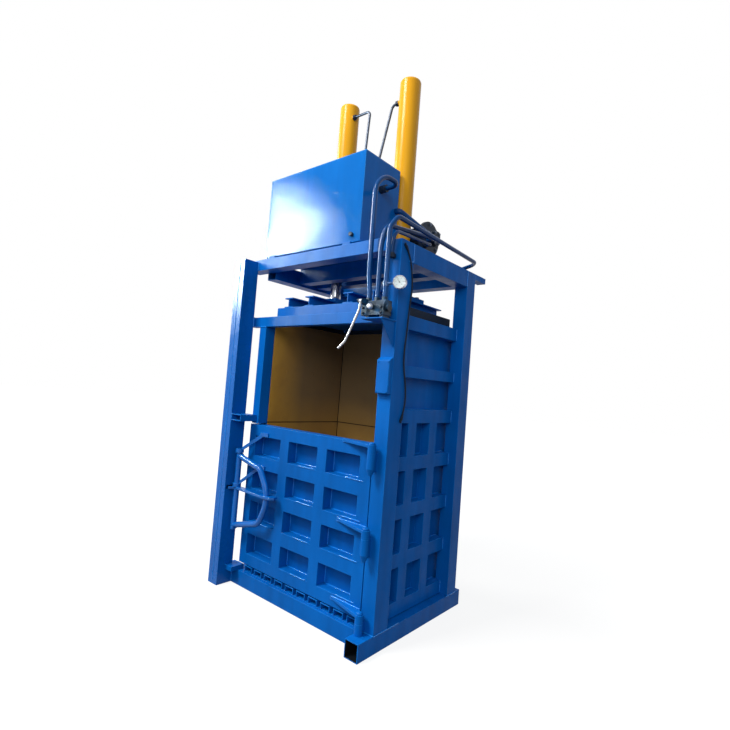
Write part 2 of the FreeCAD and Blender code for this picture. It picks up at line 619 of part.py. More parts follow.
def sweeping(points):
    """For each corner of a path the largest bend that both of its runs allow."""
    radii = []
    for before, corner, after in zip(points[:-2], points[1:-1], points[2:]):
        runs = (before - corner, after - corner)
        turn = math.pi - runs[0].getAngle(runs[1])
        radii.append(0.45 * min(run.Length for run in runs) / math.tan(turn / 2))
    return radii


def hexagon(name, x, y, z, radius, height, axis=None, turn=0):
    """A nut as a six-sided prism from x, y, z, upright unless it is laid over."""
    nut = doc.addObject("Part::Prism", name)
    nut.Polygon = 6
    nut.setExpression("Circumradius", bound(radius))
    nut.setExpression("Height", bound(height))
    if axis is not None:
        nut.Placement = FreeCAD.Placement(Vector(), FreeCAD.Rotation(axis, turn))
    place(nut, x, y, z)
    return nut


def group(name, pieces):
    """Like pieces that stand apart, kept as one node."""
    result = doc.addObject("Part::Compound", name)
    result.Links = pieces
    return result


NODES = {}


def keep(name, thing):
    """Name an object as one piece of the machine."""
    thing.Label = name
    NODES[name] = thing
    return thing


# ---------------------------------------------------------------------------- base frame
IN_X = "frame_half - rail_w"
BACK_Y = "beam_front + rail_w"

WIDE = "2 * (frame_half - rail_w)"
rails = [
    section("rail_right", "y", "rail_front", "rail_rear - rail_front",
            wall_line(IN_X, 0, "frame_half", "rail_ht", "rail_wall")),
    section("rail_left", "y", BACK_Y, "rail_rear - beam_front - rail_w",
            wall_line("-frame_half", 0, "rail_w - frame_half", "rail_ht", "rail_wall"))]
keep("base_rails", group("base_rails", rails))
keep("base_front_beam", section("base_front_beam", "x", "latch_outer", IN_X + " - latch_outer",
                                wall_line("beam_front", 0, BACK_Y, "rail_ht", "rail_wall")))
cross = [section("base_cross_" + name, "x", "rail_w - frame_half", WIDE,
                 wall_line(low, 0, low + " + rail_w", "rail_ht", "rail_wall"))
         for name, low in (("rear", "rail_rear - rail_w"), ("sill", "-rail_w / 2"))]
keep("base_cross_beams", group("base_cross_beams", cross))

# posts: hollow sections that stand on the rails
FREE_Y = "post_front + post_front_d"
keep("post_front_right", section("post_front_right", "z", "rail_ht", "frame_ht - rail_ht",
                                 wall_line(IN_X, "post_front", "frame_half", FREE_Y, "rail_wall")))
rear_posts = [section("post_rear_" + name, "z", "rail_ht", "frame_ht - rail_ht",
                      wall_line(low, "post_rear", low + " + rail_w", "post_rear + post_rear_d", "rail_wall"))
              for name, low in (("right", IN_X), ("left", "-frame_half"))]
keep("posts_rear", group("posts_rear", rear_posts))

# front stiles: a hollow one on the latch side behind the door, a flat one beside the hinge post
SKIN = "(chamber_half + liner + wall_plate)"
SIDE_LOW = "frame_ht - side_beam_ht"
CROSS_LOW = "cross_top - side_beam_ht"
DOOR_TOP = "pocket_low + 3 * pocket_pitch_z + pocket_ht + top_rail"
FRONT_BEAM_LOW = "cross_top - front_beam_ht"
stiles = [
    section("stile_left", "z", "rail_ht", "wall_top - rail_ht",
            wall_line("-%s - rail_w" % SKIN, "chamber_front", "-" + SKIN, "chamber_front + rail_w",
                      "rail_wall")),
    block("stile_right", SKIN, "chamber_front", "rail_ht", IN_X + " - " + SKIN, FREE_Y + " - chamber_front",
          "wall_top - rail_ht")]
keep("front_stiles", group("front_stiles", stiles))
JAMB_LOW = DOOR_TOP + " + jamb_gap"
keep("jamb", section("jamb", "z", JAMB_LOW, "header_z - (%s)" % JAMB_LOW,
                     wall_line("-chamber_half - jamb_w", "post_front", "-chamber_half", BACK_Y, "rail_wall")))

# top frame
side_beams = [
    section("top_beam_right", "y", FREE_Y, "post_rear - (%s)" % FREE_Y,
            wall_line(IN_X, SIDE_LOW, "frame_half", "frame_ht", "rail_wall")),
    section("top_beam_left", "y", BACK_Y, "post_rear - (%s)" % BACK_Y,
            wall_line("-frame_half", SIDE_LOW, "rail_w - frame_half", "frame_ht", "rail_wall"))]
keep("top_side_beams", group("top_side_beams", side_beams))
keep("top_front_beam", section("top_front_beam", "x", "latch_outer", IN_X + " - latch_outer",
                               wall_line("beam_front", FRONT_BEAM_LOW, BACK_Y, "cross_top", "rail_wall")))
keep("top_rear_beam", section("top_rear_beam", "x", "rail_w - frame_half", WIDE,
                              wall_line("post_rear + post_rear_d - rail_w", CROSS_LOW,
                                        "post_rear + post_rear_d", "cross_top", "rail_wall")))
saddles = [section("saddle_" + name, "x", "rail_w - frame_half", WIDE,
                   wall_line(low, CROSS_LOW, low + " + saddle_w", "cross_top", "rail_wall"))
           for name, low in (("front", "cyl_y - saddle_gap / 2 - saddle_w"),
                             ("rear", "cyl_y + saddle_gap / 2"))]
keep("saddle_beams", group("saddle_beams", saddles))
stubs = [section("rear_stub_" + name, "y", "post_rear + post_rear_d", "stub_len",
                 wall_line(low, "frame_ht - stub_ht", low + " + stub_w", "frame_ht", "rail_wall"))
         for name, low in (("right", "frame_half - stub_w"), ("left", "-frame_half"))]
keep("rear_stubs", group("rear_stubs", stubs))

# latch post with the slot for the lock tongue, and its three ties to the frame
LATCH_IN = "latch_outer + latch_w"
latch_tube = section("latch_tube", "z", 0, "frame_ht",
                     wall_line("latch_outer", "latch_front", LATCH_IN, "beam_front", "latch_wall"))
SLOT_FRONT = "lock_y - tongue_len"
keeper = block("keeper_slot", LATCH_IN + " - 2 * latch_wall", SLOT_FRONT, "tongue_z - keeper_gap",
               "3 * latch_wall", "tongue_len + tongue_w / 2 + keeper_gap", "tongue_plate + 2 * keeper_gap")
keep("latch_post", cut("latch_post", latch_tube, keeper))
ties = [
    section("tie_mid", "y", "latch_front", "post_front - latch_front",
            wall_line(LATCH_IN, "tie_mid_z", LATCH_IN + " + tie_mid_w", "tie_mid_z + tie_mid_ht",
                      "rail_wall")),
    block("tie_base", LATCH_IN, "beam_front + rail_w / 2 - tie_base_d", "rail_ht", "tie_base_w", "tie_base_d",
          "tie_base_ht"),
    block("tie_header", "-frame_half - header_lap", "beam_front", "header_z", "header_lap",
          "post_front - beam_front", "header_ht")]
keep("latch_ties", group("latch_ties", ties))

# header over the feed opening: a channel with its web to the front
HEAD_BACK = "post_front + header_d"
HEAD_TOP = "header_z + header_ht"
keep("header", section("header", "x", "-frame_half - header_lap", IN_X + " + frame_half + header_lap", [[
    ("post_front", "header_z"), (HEAD_BACK, "header_z"), (HEAD_BACK, "header_z + rail_wall"),
    ("post_front + rail_wall", "header_z + rail_wall"), ("post_front + rail_wall", HEAD_TOP + " - rail_wall"),
    (HEAD_BACK, HEAD_TOP + " - rail_wall"), (HEAD_BACK, HEAD_TOP), ("post_front", HEAD_TOP)]]))

# ---------------------------------------------------------------------------- chamber
DECK_Z = "rail_ht + deck_plate"
FLOOR_Z = "rail_ht + deck_plate + channel_ht"
keep("floor_deck", block("floor_deck", "-" + SKIN, "post_front", "rail_ht", "2 * " + SKIN,
                         "channel_rear - post_front", "deck_plate"))

# floor channels with strap slots between them
channels = doc.addObject("PartDesign::Body", "floor_channels")
channels.AllowCompound = True
first_x = "-channel_pitch * (channels - 1) / 2 - channel_w / 2"
pad(channels, "y", "channel", [[
    (first_x, DECK_Z), (first_x + " + channel_wall", DECK_Z),
    (first_x + " + channel_wall", FLOOR_Z + " - channel_wall"),
    (first_x + " + channel_w - channel_wall", FLOOR_Z + " - channel_wall"),
    (first_x + " + channel_w - channel_wall", DECK_Z), (first_x + " + channel_w", DECK_Z),
    (first_x + " + channel_w", FLOOR_Z), (first_x, FLOOR_Z)]], "channel_rear - post_front")
doc.recompute()
row = channels.newObject("PartDesign::LinearPattern", "channel_row")
row.Originals = [doc.getObject("channel_pad")]
row.Direction = (doc.getObject("channel_sketch"), ["H_Axis"])
row.Mode = "Spacing"
row.setExpression("Offset", bound("channel_pitch"))
row.setExpression("Occurrences", bound("channels"))
channels.Tip = row
place(channels, y="post_front")
keep("floor_channels", channels)

# ribbed walls: a sheet, ribs across it and upright ribs between the lower ones
RIBS = 5


def ribbed_wall(name, axis, sheet_ends, rib_ends, lowest, uprights, rib_reach):
    """A wall sheet with its ribs, from the plane of the sheet outwards."""
    body = doc.addObject("PartDesign::Body", name)
    pad(body, axis, name + "_sheet", [box_line(sheet_ends[0], FLOOR_Z, sheet_ends[1], "wall_top")],
        "wall_plate")
    bands = [(lowest, "rib_first + rib_w")]
    for step in range(1, RIBS):
        bands.append(("rib_first + %d * rib_pitch" % step, "rib_first + %d * rib_pitch + rib_w" % step))
    pad(body, axis, name + "_ribs", [box_line(rib_ends[0], low, rib_ends[1], high) for low, high in bands],
        rib_reach, lift="wall_plate")
    for part, low, high in (("upper", "rib_upper", "rib_upper + rib_upper_w"),
                            ("top", "wall_top - rib_w", "wall_top")):
        pad(body, axis, "%s_rib_%s" % (name, part), [box_line(rib_ends[0], low, rib_ends[1], high)],
            rib_reach,
            lift="wall_plate")
    top = "rib_first + %d * rib_pitch + rib_w / 2" % (RIBS - 1)
    pad(body, axis, name + "_uprights",
        [box_line(low, "rib_first + rib_w / 2", low + " + upright_w", top) for low in uprights], rib_reach,
        lift="wall_plate")
    return body


WALL_BACK = "chamber_rear + liner + wall_plate"
wall_right = ribbed_wall("wall_right", "x", ("chamber_front", WALL_BACK), (FREE_Y, "post_rear"), "rib_first",
                         ("upright_y", "upright_y + upright_pitch"), "rib_d")
place(wall_right, x="chamber_half + liner")
keep("wall_right", wall_right)
left_source = ribbed_wall("wall_left_source", "x", ("chamber_front", WALL_BACK),
                          ("chamber_front + rail_w", "post_rear"), "rib_first",
                          ("upright_y", "upright_y + upright_pitch"), "rib_d")
place(left_source, x="chamber_half + liner")
wall_left = doc.addObject("Part::Mirroring", "wall_left")
wall_left.Source = left_source
wall_left.Normal = Vector(1, 0, 0)
keep("wall_left", wall_left)
wall_rear = ribbed_wall("wall_rear", "y", ("-chamber_half - liner", "chamber_half + liner"),
                        ("rail_w - frame_half", IN_X), FLOOR_Z,
                        ("-upright_x - upright_w / 2", "upright_x - upright_w / 2"),
                        "post_rear + post_rear_d - chamber_rear - liner - wall_plate")
place(wall_rear, y="chamber_rear + liner")
keep("wall_rear", wall_rear)

WALL_HT = "wall_top - rail_ht - deck_plate - channel_ht"
LINER_D = "chamber_rear - chamber_front"
liners = [
    block("liner_right", "chamber_half", "chamber_front", FLOOR_Z, "liner", LINER_D, WALL_HT),
    block("liner_left", "-chamber_half - liner", "chamber_front", FLOOR_Z, "liner", LINER_D, WALL_HT),
    block("liner_rear", "-chamber_half - liner", "chamber_rear", FLOOR_Z, "2 * (chamber_half + liner)",
          "liner", WALL_HT)]
keep("chamber_liners", group("chamber_liners", liners))

# ---------------------------------------------------------------------------- door
DOOR_RIGHT = "frame_half - rail_w - door_gap"
DOOR_ROWS = 4
DOOR_COLUMNS = 3
door_lines = [box_line("door_left", "door_bottom", DOOR_RIGHT, DOOR_TOP)]
for level in range(DOOR_ROWS):
    for column in range(DOOR_COLUMNS):
        left = "pocket_left + %d * pocket_pitch_x" % column
        low = "pocket_low + %d * pocket_pitch_z" % level
        door_lines.append(box_line(left, low, left + " + pocket_w", low + " + pocket_ht"))
keep("door_ribs", section("door_ribs", "y", "post_front", "door_rib_d", door_lines))
keep("door_sheet", block("door_sheet", "door_left", "post_front + door_rib_d", "door_bottom",
                         DOOR_RIGHT + " - door_left", "door_plate", DOOR_TOP + " - door_bottom"))

# hinges: a tapered arm with an eye on the door, and a lug with a pin and a round head on the post
arms = []
lugs = []
for name, top, reach in (("low", "hinge_low", "hinge_low - arm_eye - eye_gap - rail_ht"),
                         ("mid", "hinge_mid", "lug_ht"), ("top", "hinge_top", "lug_ht")):
    eye = rod("arm_eye_" + name, "knuckle_r", "arm_eye", "pin_x", "pin_y", top + " - arm_eye")
    leaf = section("arm_leaf_" + name, "z", top + " - arm_plate", "arm_plate", [[
        ("arm_tip", "post_front"), ("pin_x - knuckle_r / 2", "pin_y - knuckle_r * 0.85"), ("pin_x", "pin_y"),
        (DOOR_RIGHT, "post_front")]])
    hole = rod("arm_hole_" + name, "pin_r + pin_fit", "3 * arm_eye", "pin_x", "pin_y", top + " - 2 * arm_eye")
    arms.append(cut("hinge_arm_" + name, fuse("arm_weld_" + name, [eye, leaf]), hole))
    seat = "-arm_eye - eye_gap"
    foot = "%s - (%s)" % (seat, reach)
    toe = "knuckle_r" if name == "low" else "knuckle_r * 0.45"
    turned = revolved("lug_turn_" + name, [
        (0, foot), (toe, foot), ("knuckle_r", "%s - (%s) * 0.7" % (seat, reach)), ("knuckle_r", seat),
        ("pin_r", seat), ("pin_r", "eye_gap"), ("head_r", "eye_gap"), ("head_r", "eye_gap + head_ht * 0.4"),
        ("head_r * 0.7", "eye_gap + head_ht * 0.85"), (0, "eye_gap + head_ht")], "pin_x", "pin_y", top)
    fin = block("lug_fin_" + name, "pin_x - lug_fin / 2", "pin_y", "%s %s - (%s) * 0.85" % (top, seat, reach),
                "lug_fin", "post_front - pin_y", "(%s) * 0.85" % reach)
    lugs.append(fuse("hinge_lug_" + name, [turned, fin]))
keep("hinge_arms", group("hinge_arms", arms))
keep("hinge_lugs", group("hinge_lugs", lugs))

# ---------------------------------------------------------------------------- lock on the door
lock_bar = rod("lock_bar", "lock_r", "lock_top - lock_low", "lock_x", "lock_y", "lock_low")


def shaft_cope(name):
    """The space that the lock shaft takes in the pieces welded to it."""
    return rod(name, "lock_r", "2 * (lock_top - lock_low)", "lock_x", "lock_y", "lock_low - lock_low / 2")


handle_points = [spot("lock_x", "lock_y", "handle_top"),
                 spot("lock_x + handle_up_x", "lock_y", "handle_up_z"),
                 spot("lock_x + handle_reach", "lock_y", "handle_mid_z"),
                 spot("lock_x + handle_down_x", "lock_y", "handle_down_z"),
                 spot("lock_x", "lock_y", "handle_low")]
handle_bends = [worth("handle_bend"), worth("handle_crown"), worth("handle_bend")]
handle_bar = swept("handle_bar", handle_points, handle_bends, "handle_r")
WEB_END = "lock_x + web_reach"
web = section("web_plate", "z", "tongue_z", "tongue_plate", [[
    ("lock_x", "lock_y - lock_r"), ("lock_x + handle_reach * 0.84", "lock_y - web_front"),
    (WEB_END + " - web_front / 2", "lock_y - web_front * 0.75"), (WEB_END, "lock_y"),
    (WEB_END + " - web_front / 2", "lock_y + web_rear"), ("lock_x", "lock_y + lock_r")]])
keep("lock_handle", cut("lock_handle", fuse("handle_weld", [handle_bar, web]), shaft_cope("handle_cope")))
tongue_bar = section("tongue_bar", "z", 0, "tongue_plate",
                     [box_line(0, "-tongue_w / 2", "tongue_len", "tongue_w / 2")])
tongue_bar.Placement = FreeCAD.Placement(Vector(), FreeCAD.Rotation(Vector(0, 0, 1), worth("tongue_rest")))
place(tongue_bar, "lock_x", "lock_y", "tongue_z")
keep("lock_shaft", fuse("lock_shaft", [lock_bar, tongue_bar]))

# bearings of the lock shaft: an eye on a sloped plate that is welded to the door's ribs
bearings = []
for name, low, foot_x, foot_z in (
        ("top", "lock_top - bearing_ht", "lock_x + bearing_top_run",
         "pocket_low + 3 * pocket_pitch_z + pocket_ht + bearing_lift"),
        ("mid", "tongue_z + tongue_plate + eye_gap", "lock_x + bearing_mid_run",
         "pocket_low + 2 * pocket_pitch_z + pocket_ht + bearing_lift")):
    eye = rod("bearing_eye_" + name, "bearing_r", "bearing_ht", "lock_x", "lock_y", low)
    across = "(%s - lock_x)" % foot_x
    deep = "(post_front - lock_y)"
    run = "sqrt(%s ^ 2 + %s ^ 2)" % (across, deep)
    strap = section("bearing_strap_" + name, "y", 0, "bearing_plate", [[
        (0, low), (run, foot_z), (run, foot_z + " + bearing_foot"), (0, low + " + bearing_ht")]])
    heading = math.atan2(worth(deep), worth(across))
    turn = FreeCAD.Rotation(Vector(0, 0, 1), math.degrees(heading))
    strap.Placement = FreeCAD.Placement(Vector(), turn)
    place(strap, "lock_x + bearing_plate / 2 * %.6f" % math.sin(heading),
          "lock_y - bearing_plate / 2 * %.6f" % math.cos(heading), 0)
    pad_plate = block("bearing_pad_" + name, foot_x + " - bearing_foot", "post_front - bearing_plate", foot_z,
                      "3 * bearing_foot", "bearing_plate", "bearing_foot")
    behind = block("bearing_trim_" + name, foot_x + " - 4 * bearing_foot", "post_front", "0",
                   "8 * bearing_foot", "2 * bearing_foot", "frame_ht")
    trimmed = cut("bearing_face_" + name, fuse("bearing_weld_" + name, [eye, strap, pad_plate]), behind)
    bore = rod("bearing_bore_" + name, "lock_r + pin_fit", "3 * bearing_ht", "lock_x", "lock_y",
               low + " - bearing_ht")
    bearings.append(cut("lock_bearing_" + name, trimmed, bore))
keep("lock_bearings", group("lock_bearings", bearings))

# ---------------------------------------------------------------------------- platen
PLATEN_HALF = "(chamber_half - platen_gap)"
PLATEN_FRONT = "post_front + door_rib_d + door_plate + platen_front"
PLATEN_DEEP = "chamber_rear - platen_gap - post_front - door_rib_d - door_plate - platen_front"
JOIST_Z = "platen_z + platen_ht"
FOOT_Z = "platen_z + platen_ht + joist_ht"
tray_block = block("tray_block", "-" + PLATEN_HALF, PLATEN_FRONT, "platen_z", "2 * " + PLATEN_HALF,
                   PLATEN_DEEP, "platen_ht")
tray_well = block("tray_well", "platen_rim - " + PLATEN_HALF, PLATEN_FRONT + " + platen_rim",
                  "platen_z + platen_floor", "2 * %s - 2 * platen_rim" % PLATEN_HALF,
                  PLATEN_DEEP + " - 2 * platen_rim", "platen_ht")
keep("platen_tray", cut("platen_tray", tray_block, tray_well))
joists = []
for number, mid in enumerate(("-cyl_x - joist_half", "-cyl_x + joist_half", "cyl_x - joist_half",
                              "cyl_x + joist_half"), start=1):
    half_section = [("joist_w / 2", JOIST_Z), ("joist_w / 2", JOIST_Z + " + joist_flange"),
                    ("joist_web / 2", JOIST_Z + " + joist_flange"),
                    ("joist_web / 2", FOOT_Z + " - joist_flange"),
                    ("joist_w / 2", FOOT_Z + " - joist_flange"), ("joist_w / 2", FOOT_Z)]
    right_side = [("%s + %s" % (mid, u), v) for u, v in half_section]
    left_side = [("%s - %s" % (mid, u), v) for u, v in reversed(half_section)]
    joists.append(section("platen_joist_%d" % number, "y", PLATEN_FRONT, PLATEN_DEEP,
                          [right_side + left_side]))
keep("platen_joists", group("platen_joists", joists))

# ---------------------------------------------------------------------------- cylinders
TUBE_Z = "cross_top + flange_plate"
TUBE_TOP = "cyl_top - cap_ht"
PISTON_TOP = "cyl_top - cap_ht - piston_drop"
ROD_Z = "platen_z + platen_ht + joist_ht + foot_plate"
feet = []
rods = []
flanges = []
for name, x in (("left", "-cyl_x"), ("right", "cyl_x")):
    feet.append(block("rod_foot_" + name, x + " - foot_side / 2", "cyl_y - foot_side / 2", FOOT_Z,
                      "foot_side", "foot_side", "foot_plate"))
    rods.append(revolved("piston_rod_" + name, [
        (0, ROD_Z), ("rod_r", ROD_Z), ("rod_r", PISTON_TOP + " - piston_ht"),
        ("cyl_bore - rod_fit", PISTON_TOP + " - piston_ht"), ("cyl_bore - rod_fit", PISTON_TOP),
        (0, PISTON_TOP)], x, "cyl_y", 0))
    tube = revolved("cylinder_tube_" + name, [
        ("cyl_bore", TUBE_Z), ("cyl_r", TUBE_Z), ("cyl_r", "cyl_top - cap_round"),
        ("cyl_r - cap_round * 0.3", "cyl_top - cap_round * 0.3"), ("cyl_r - cap_round", "cyl_top"),
        (0, "cyl_top"), (0, TUBE_TOP), ("cyl_bore", TUBE_TOP)], x, "cyl_y", 0)
    toward = 1 if name == "left" else -1
    port_z = "cap_left_z" if name == "left" else "cap_z"
    boss_x = "%s + %d * boss_reach" % (x, toward)
    boss = rod("cap_boss_" + name, "boss_r", "boss_reach - cyl_bore + boss_seat", boss_x, "cyl_y + boss_y",
               port_z,
               Vector(0, 1, 0), -90 * toward)
    rear_boss = rod("rod_boss_" + name, "boss_r", "boss_rear - cyl_r + (cyl_r - cyl_bore) / 4", x,
                    "cyl_y + boss_rear", "rod_port_z", Vector(1, 0, 0), 90)
    clear = rod("bore_clear_" + name, "cyl_bore", "cyl_top - cap_ht - (%s)" % TUBE_Z, x, "cyl_y", TUBE_Z)
    keep("cylinder_" + name, cut("cylinder_" + name, fuse("cylinder_weld_" + name, [tube, boss, rear_boss]),
                                 clear))
    plate = block("flange_square_" + name, x + " - flange_side / 2", "cyl_y - flange_d / 2", "cross_top",
                  "flange_side", "flange_d", "flange_plate")
    gland = rod("gland_" + name, "cyl_bore", "gland_ht", x, "cyl_y", TUBE_Z)
    way = rod("rod_way_" + name, "rod_r + rod_fit", "2 * (gland_ht + flange_plate)", x, "cyl_y",
              "cross_top - flange_plate")
    flanges.append(cut("flange_" + name, fuse("flange_gland_" + name, [plate, gland]), way))
keep("rod_feet", group("rod_feet", feet))
keep("piston_rods", group("piston_rods", rods))
keep("cylinder_flanges", group("cylinder_flanges", flanges))

# ---------------------------------------------------------------------------- oil tank
TANK_Z = "cross_top + bearer_ht"
bearers = [block("tank_bearer_" + name, x, "beam_front", "cross_top", "bearer_w",
                 "cyl_y - flange_d / 2 - bearer_gap - beam_front", "bearer_ht")
           for name, x in (("left", "tank_left + bearer_w"), ("right", "tank_right - 2 * bearer_w"))]
keep("tank_bearers", group("tank_bearers", bearers))
TANK_W = "tank_right - tank_left"
TANK_D = "tank_rear - tank_front"
tank_block = block("tank_block", "tank_left", "tank_front", TANK_Z, TANK_W, TANK_D, "tank_ht - tank_wall")
tank_space = block("tank_space", "tank_left + tank_wall", "tank_front + tank_wall", TANK_Z + " + tank_wall",
                   TANK_W + " - 2 * tank_wall", TANK_D + " - 2 * tank_wall", "tank_ht")
keep("tank", cut("tank", tank_block, tank_space))
keep("tank_lid", block("tank_lid", "tank_left", "tank_front", TANK_Z + " + tank_ht - tank_wall", TANK_W,
                       TANK_D, "tank_wall"))
plug = hexagon("drain_plug", "tank_right - plug_inset", "tank_front", TANK_Z + " + plug_z", "plug_r",
               "plug_len", Vector(1, 0, 0), 90)
NECK_R = "filler_r - filler_rim"
filler = revolved("filler_cap", [
    (0, 0), ("filler_r + filler_rim", 0), ("filler_r + filler_rim", "filler_rim"), (NECK_R, "filler_rim"),
    (NECK_R, "2 * filler_rim"), ("filler_r", "2 * filler_rim"), ("filler_r", "filler_ht - filler_rim"),
    (NECK_R, "filler_ht"), (0, "filler_ht")], "tank_left + filler_inset", "tank_rear - filler_inset",
    TANK_Z + " + tank_ht")
inlet = rod("tank_inlet", "fit_r", "fit_len", "tank_right", "line_a_y", "line_a_z", Vector(0, 1, 0), 90)

# ---------------------------------------------------------------------------- power unit
MOUNT_TOP = "cross_top + mount_t"
keep("motor_mount", block("motor_mount", "motor_left + mount_inset", "mount_front", "cross_top",
                          "motor_len - 2 * mount_inset",
                          "post_rear + post_rear_d - mount_inset - mount_front",
                          "mount_t"))
FINS = 28
shell = doc.addObject("PartDesign::Body", "motor_shell")
pad(shell, "x", "shell", [], "motor_len", [(0, 0, "motor_r")])
pad(shell, "x", "fin", [box_line("-fin_t / 2", "motor_r - fin_d", "fin_t / 2", "motor_r + fin_d")],
    "motor_len")
doc.recompute()
fins = shell.newObject("PartDesign::PolarPattern", "fin_ring")
fins.Originals = [doc.getObject("fin_pad")]
fins.Axis = (doc.getObject("fin_sketch"), ["N_Axis"])
fins.Angle = 360
fins.Occurrences = FINS
shell.Tip = fins
place(shell, "motor_left", "motor_y", "motor_z")
motor_feet = []
for end, x in (("fan", "motor_left + motor_foot_inset"),
               ("drive", "motor_right - motor_foot_inset - motor_foot_len")):
    for side, y in (("front", "motor_y - motor_foot_y"), ("rear", "motor_y + motor_foot_y - motor_foot_w")):
        motor_feet.append(block("motor_foot_%s_%s" % (end, side), x, y, MOUNT_TOP, "motor_foot_len",
                                "motor_foot_w", "motor_z - foot_rise - (%s)" % MOUNT_TOP))
terminal = block("terminal_box", "motor_left + (motor_len - term_d) / 2", "motor_y + motor_r / 2",
                 "motor_z - term_w / 2", "term_d", "motor_r / 2 + fin_d + term_ht", "term_w")
drive_end = rod("motor_drive_end", "drive_r", "drive_t", "motor_right", "motor_y", "motor_z",
                Vector(0, 1, 0), 90)
fan_stub = rod("fan_stub", "shaft_r", "cowl_len - fan_clear", "motor_left - cowl_len + fan_clear", "motor_y",
               "motor_z", Vector(0, 1, 0), 90)
keep("motor_body", fuse("motor_body", [shell] + motor_feet + [terminal, drive_end, fan_stub]))

# fan cowl: a ring at the end of the shell, closed by a plate with a ring of radial slots
SLOTS = 18
COWL_R = "motor_r + fin_d + cowl_wall"
cowl = doc.addObject("PartDesign::Body", "fan_cowl")
pad(cowl, "x", "cowl", [], "cowl_len", [(0, 0, COWL_R), (0, 0, "motor_r + fin_d")])
pad(cowl, "x", "cowl_end", [], "cowl_wall", [(0, 0, COWL_R)])
doc.recompute()
slot_sketch = sketch(cowl, "YZ_Plane", "cowl_slot_sketch")
outline(slot_sketch, box_line("-blade_t", "fan_hub_r + slot_edge", "blade_t", "fan_r + slot_edge"))
slot = cowl.newObject("PartDesign::Pocket", "cowl_slot")
slot.Profile = slot_sketch
slot.Type = "Length"
slot.setExpression("Length", bound("4 * cowl_wall"))
slot.Midplane = True
doc.recompute()
slots = cowl.newObject("PartDesign::PolarPattern", "cowl_slots")
slots.Originals = [slot]
slots.Axis = (slot_sketch, ["N_Axis"])
slots.Angle = 360
slots.Occurrences = SLOTS
cowl.Tip = slots
place(cowl, "motor_left - cowl_len", "motor_y", "motor_z")
keep("fan_cowl", cowl)

# fan on the motor's rear stub: a hub with straight blades
BLADES = 8
fan = doc.addObject("PartDesign::Body", "motor_fan")
pad(fan, "x", "fan_hub", [], "fan_w", [(0, 0, "fan_hub_r"), (0, 0, "shaft_r + pin_fit")])
pad(fan, "x", "fan_blade", [box_line("-blade_t / 2", "(fan_hub_r + shaft_r) / 2", "blade_t / 2", "fan_r")],
    "fan_w")
doc.recompute()
blades = fan.newObject("PartDesign::PolarPattern", "fan_blades")
blades.Originals = [doc.getObject("fan_blade_pad")]
blades.Axis = (doc.getObject("fan_blade_sketch"), ["N_Axis"])
blades.Angle = 360
blades.Occurrences = BLADES
fan.Tip = blades
place(fan, "motor_left - fan_set - fan_w", "motor_y", "motor_z")
keep("motor_fan", fan)

# gear pump on the drive end, with its port nuts on the hinge side and the suction nut in front
PUMP_LEFT = "motor_right + drive_t"
PUMP_FRONT = "motor_y - pump_half"
PUMP_REAR = "motor_y + pump_half"
PUMP_LOW = "motor_z - pump_ht / 2"
PUMP_TOP = "motor_z + pump_ht / 2"
pump_body = section("pump_body", "x", PUMP_LEFT, "pump_len", [[
    (PUMP_FRONT, PUMP_LOW + " + pump_edge"), (PUMP_FRONT + " + pump_edge", PUMP_LOW),
    (PUMP_REAR + " - pump_edge", PUMP_LOW), (PUMP_REAR, PUMP_LOW + " + pump_edge"),
    (PUMP_REAR, PUMP_TOP + " - pump_edge"), (PUMP_REAR + " - pump_edge", PUMP_TOP),
    (PUMP_FRONT + " + pump_edge", PUMP_TOP), (PUMP_FRONT, PUMP_TOP + " - pump_edge")]])
PORT_RING = "(nut_r + port_rim)"
pump_port_block = block("pump_port_block", PUMP_LEFT, "port_y - " + PORT_RING, "port_low - " + PORT_RING,
                        "port_out - drive_t", "port_run + " + PORT_RING, "port_gap + 2 * " + PORT_RING)
pump_nuts = [hexagon("pump_nut_" + name, "port_x", "port_y", z, "nut_r", "nut_ht", Vector(0, 1, 0), 90)
             for name, z in (("high", "port_high"), ("low", "port_low"))]
PUMP_MID = PUMP_LEFT + " + pump_len / 2"
SUCTION_Z = "motor_z + suction_in"
suction_nut = hexagon("suction_nut", PUMP_MID, PUMP_FRONT, SUCTION_Z, "suction_r + suction_rim", "nut_ht",
                      Vector(1, 0, 0), 90)
keep("pump", fuse("pump", [pump_body, pump_port_block] + pump_nuts + [suction_nut]))
suction_points = [spot("tank_right", "suction_y", "suction_z"),
                  spot("tank_right + suction_out", "suction_y", "suction_z"),
                  spot(PUMP_MID, PUMP_FRONT + " - nut_ht - suction_run", SUCTION_Z),
                  spot(PUMP_MID, PUMP_FRONT + " - nut_ht", SUCTION_Z)]
keep("suction_pipe", swept("suction_pipe", suction_points, ["suction_bend", "suction_turn"], "suction_r"))

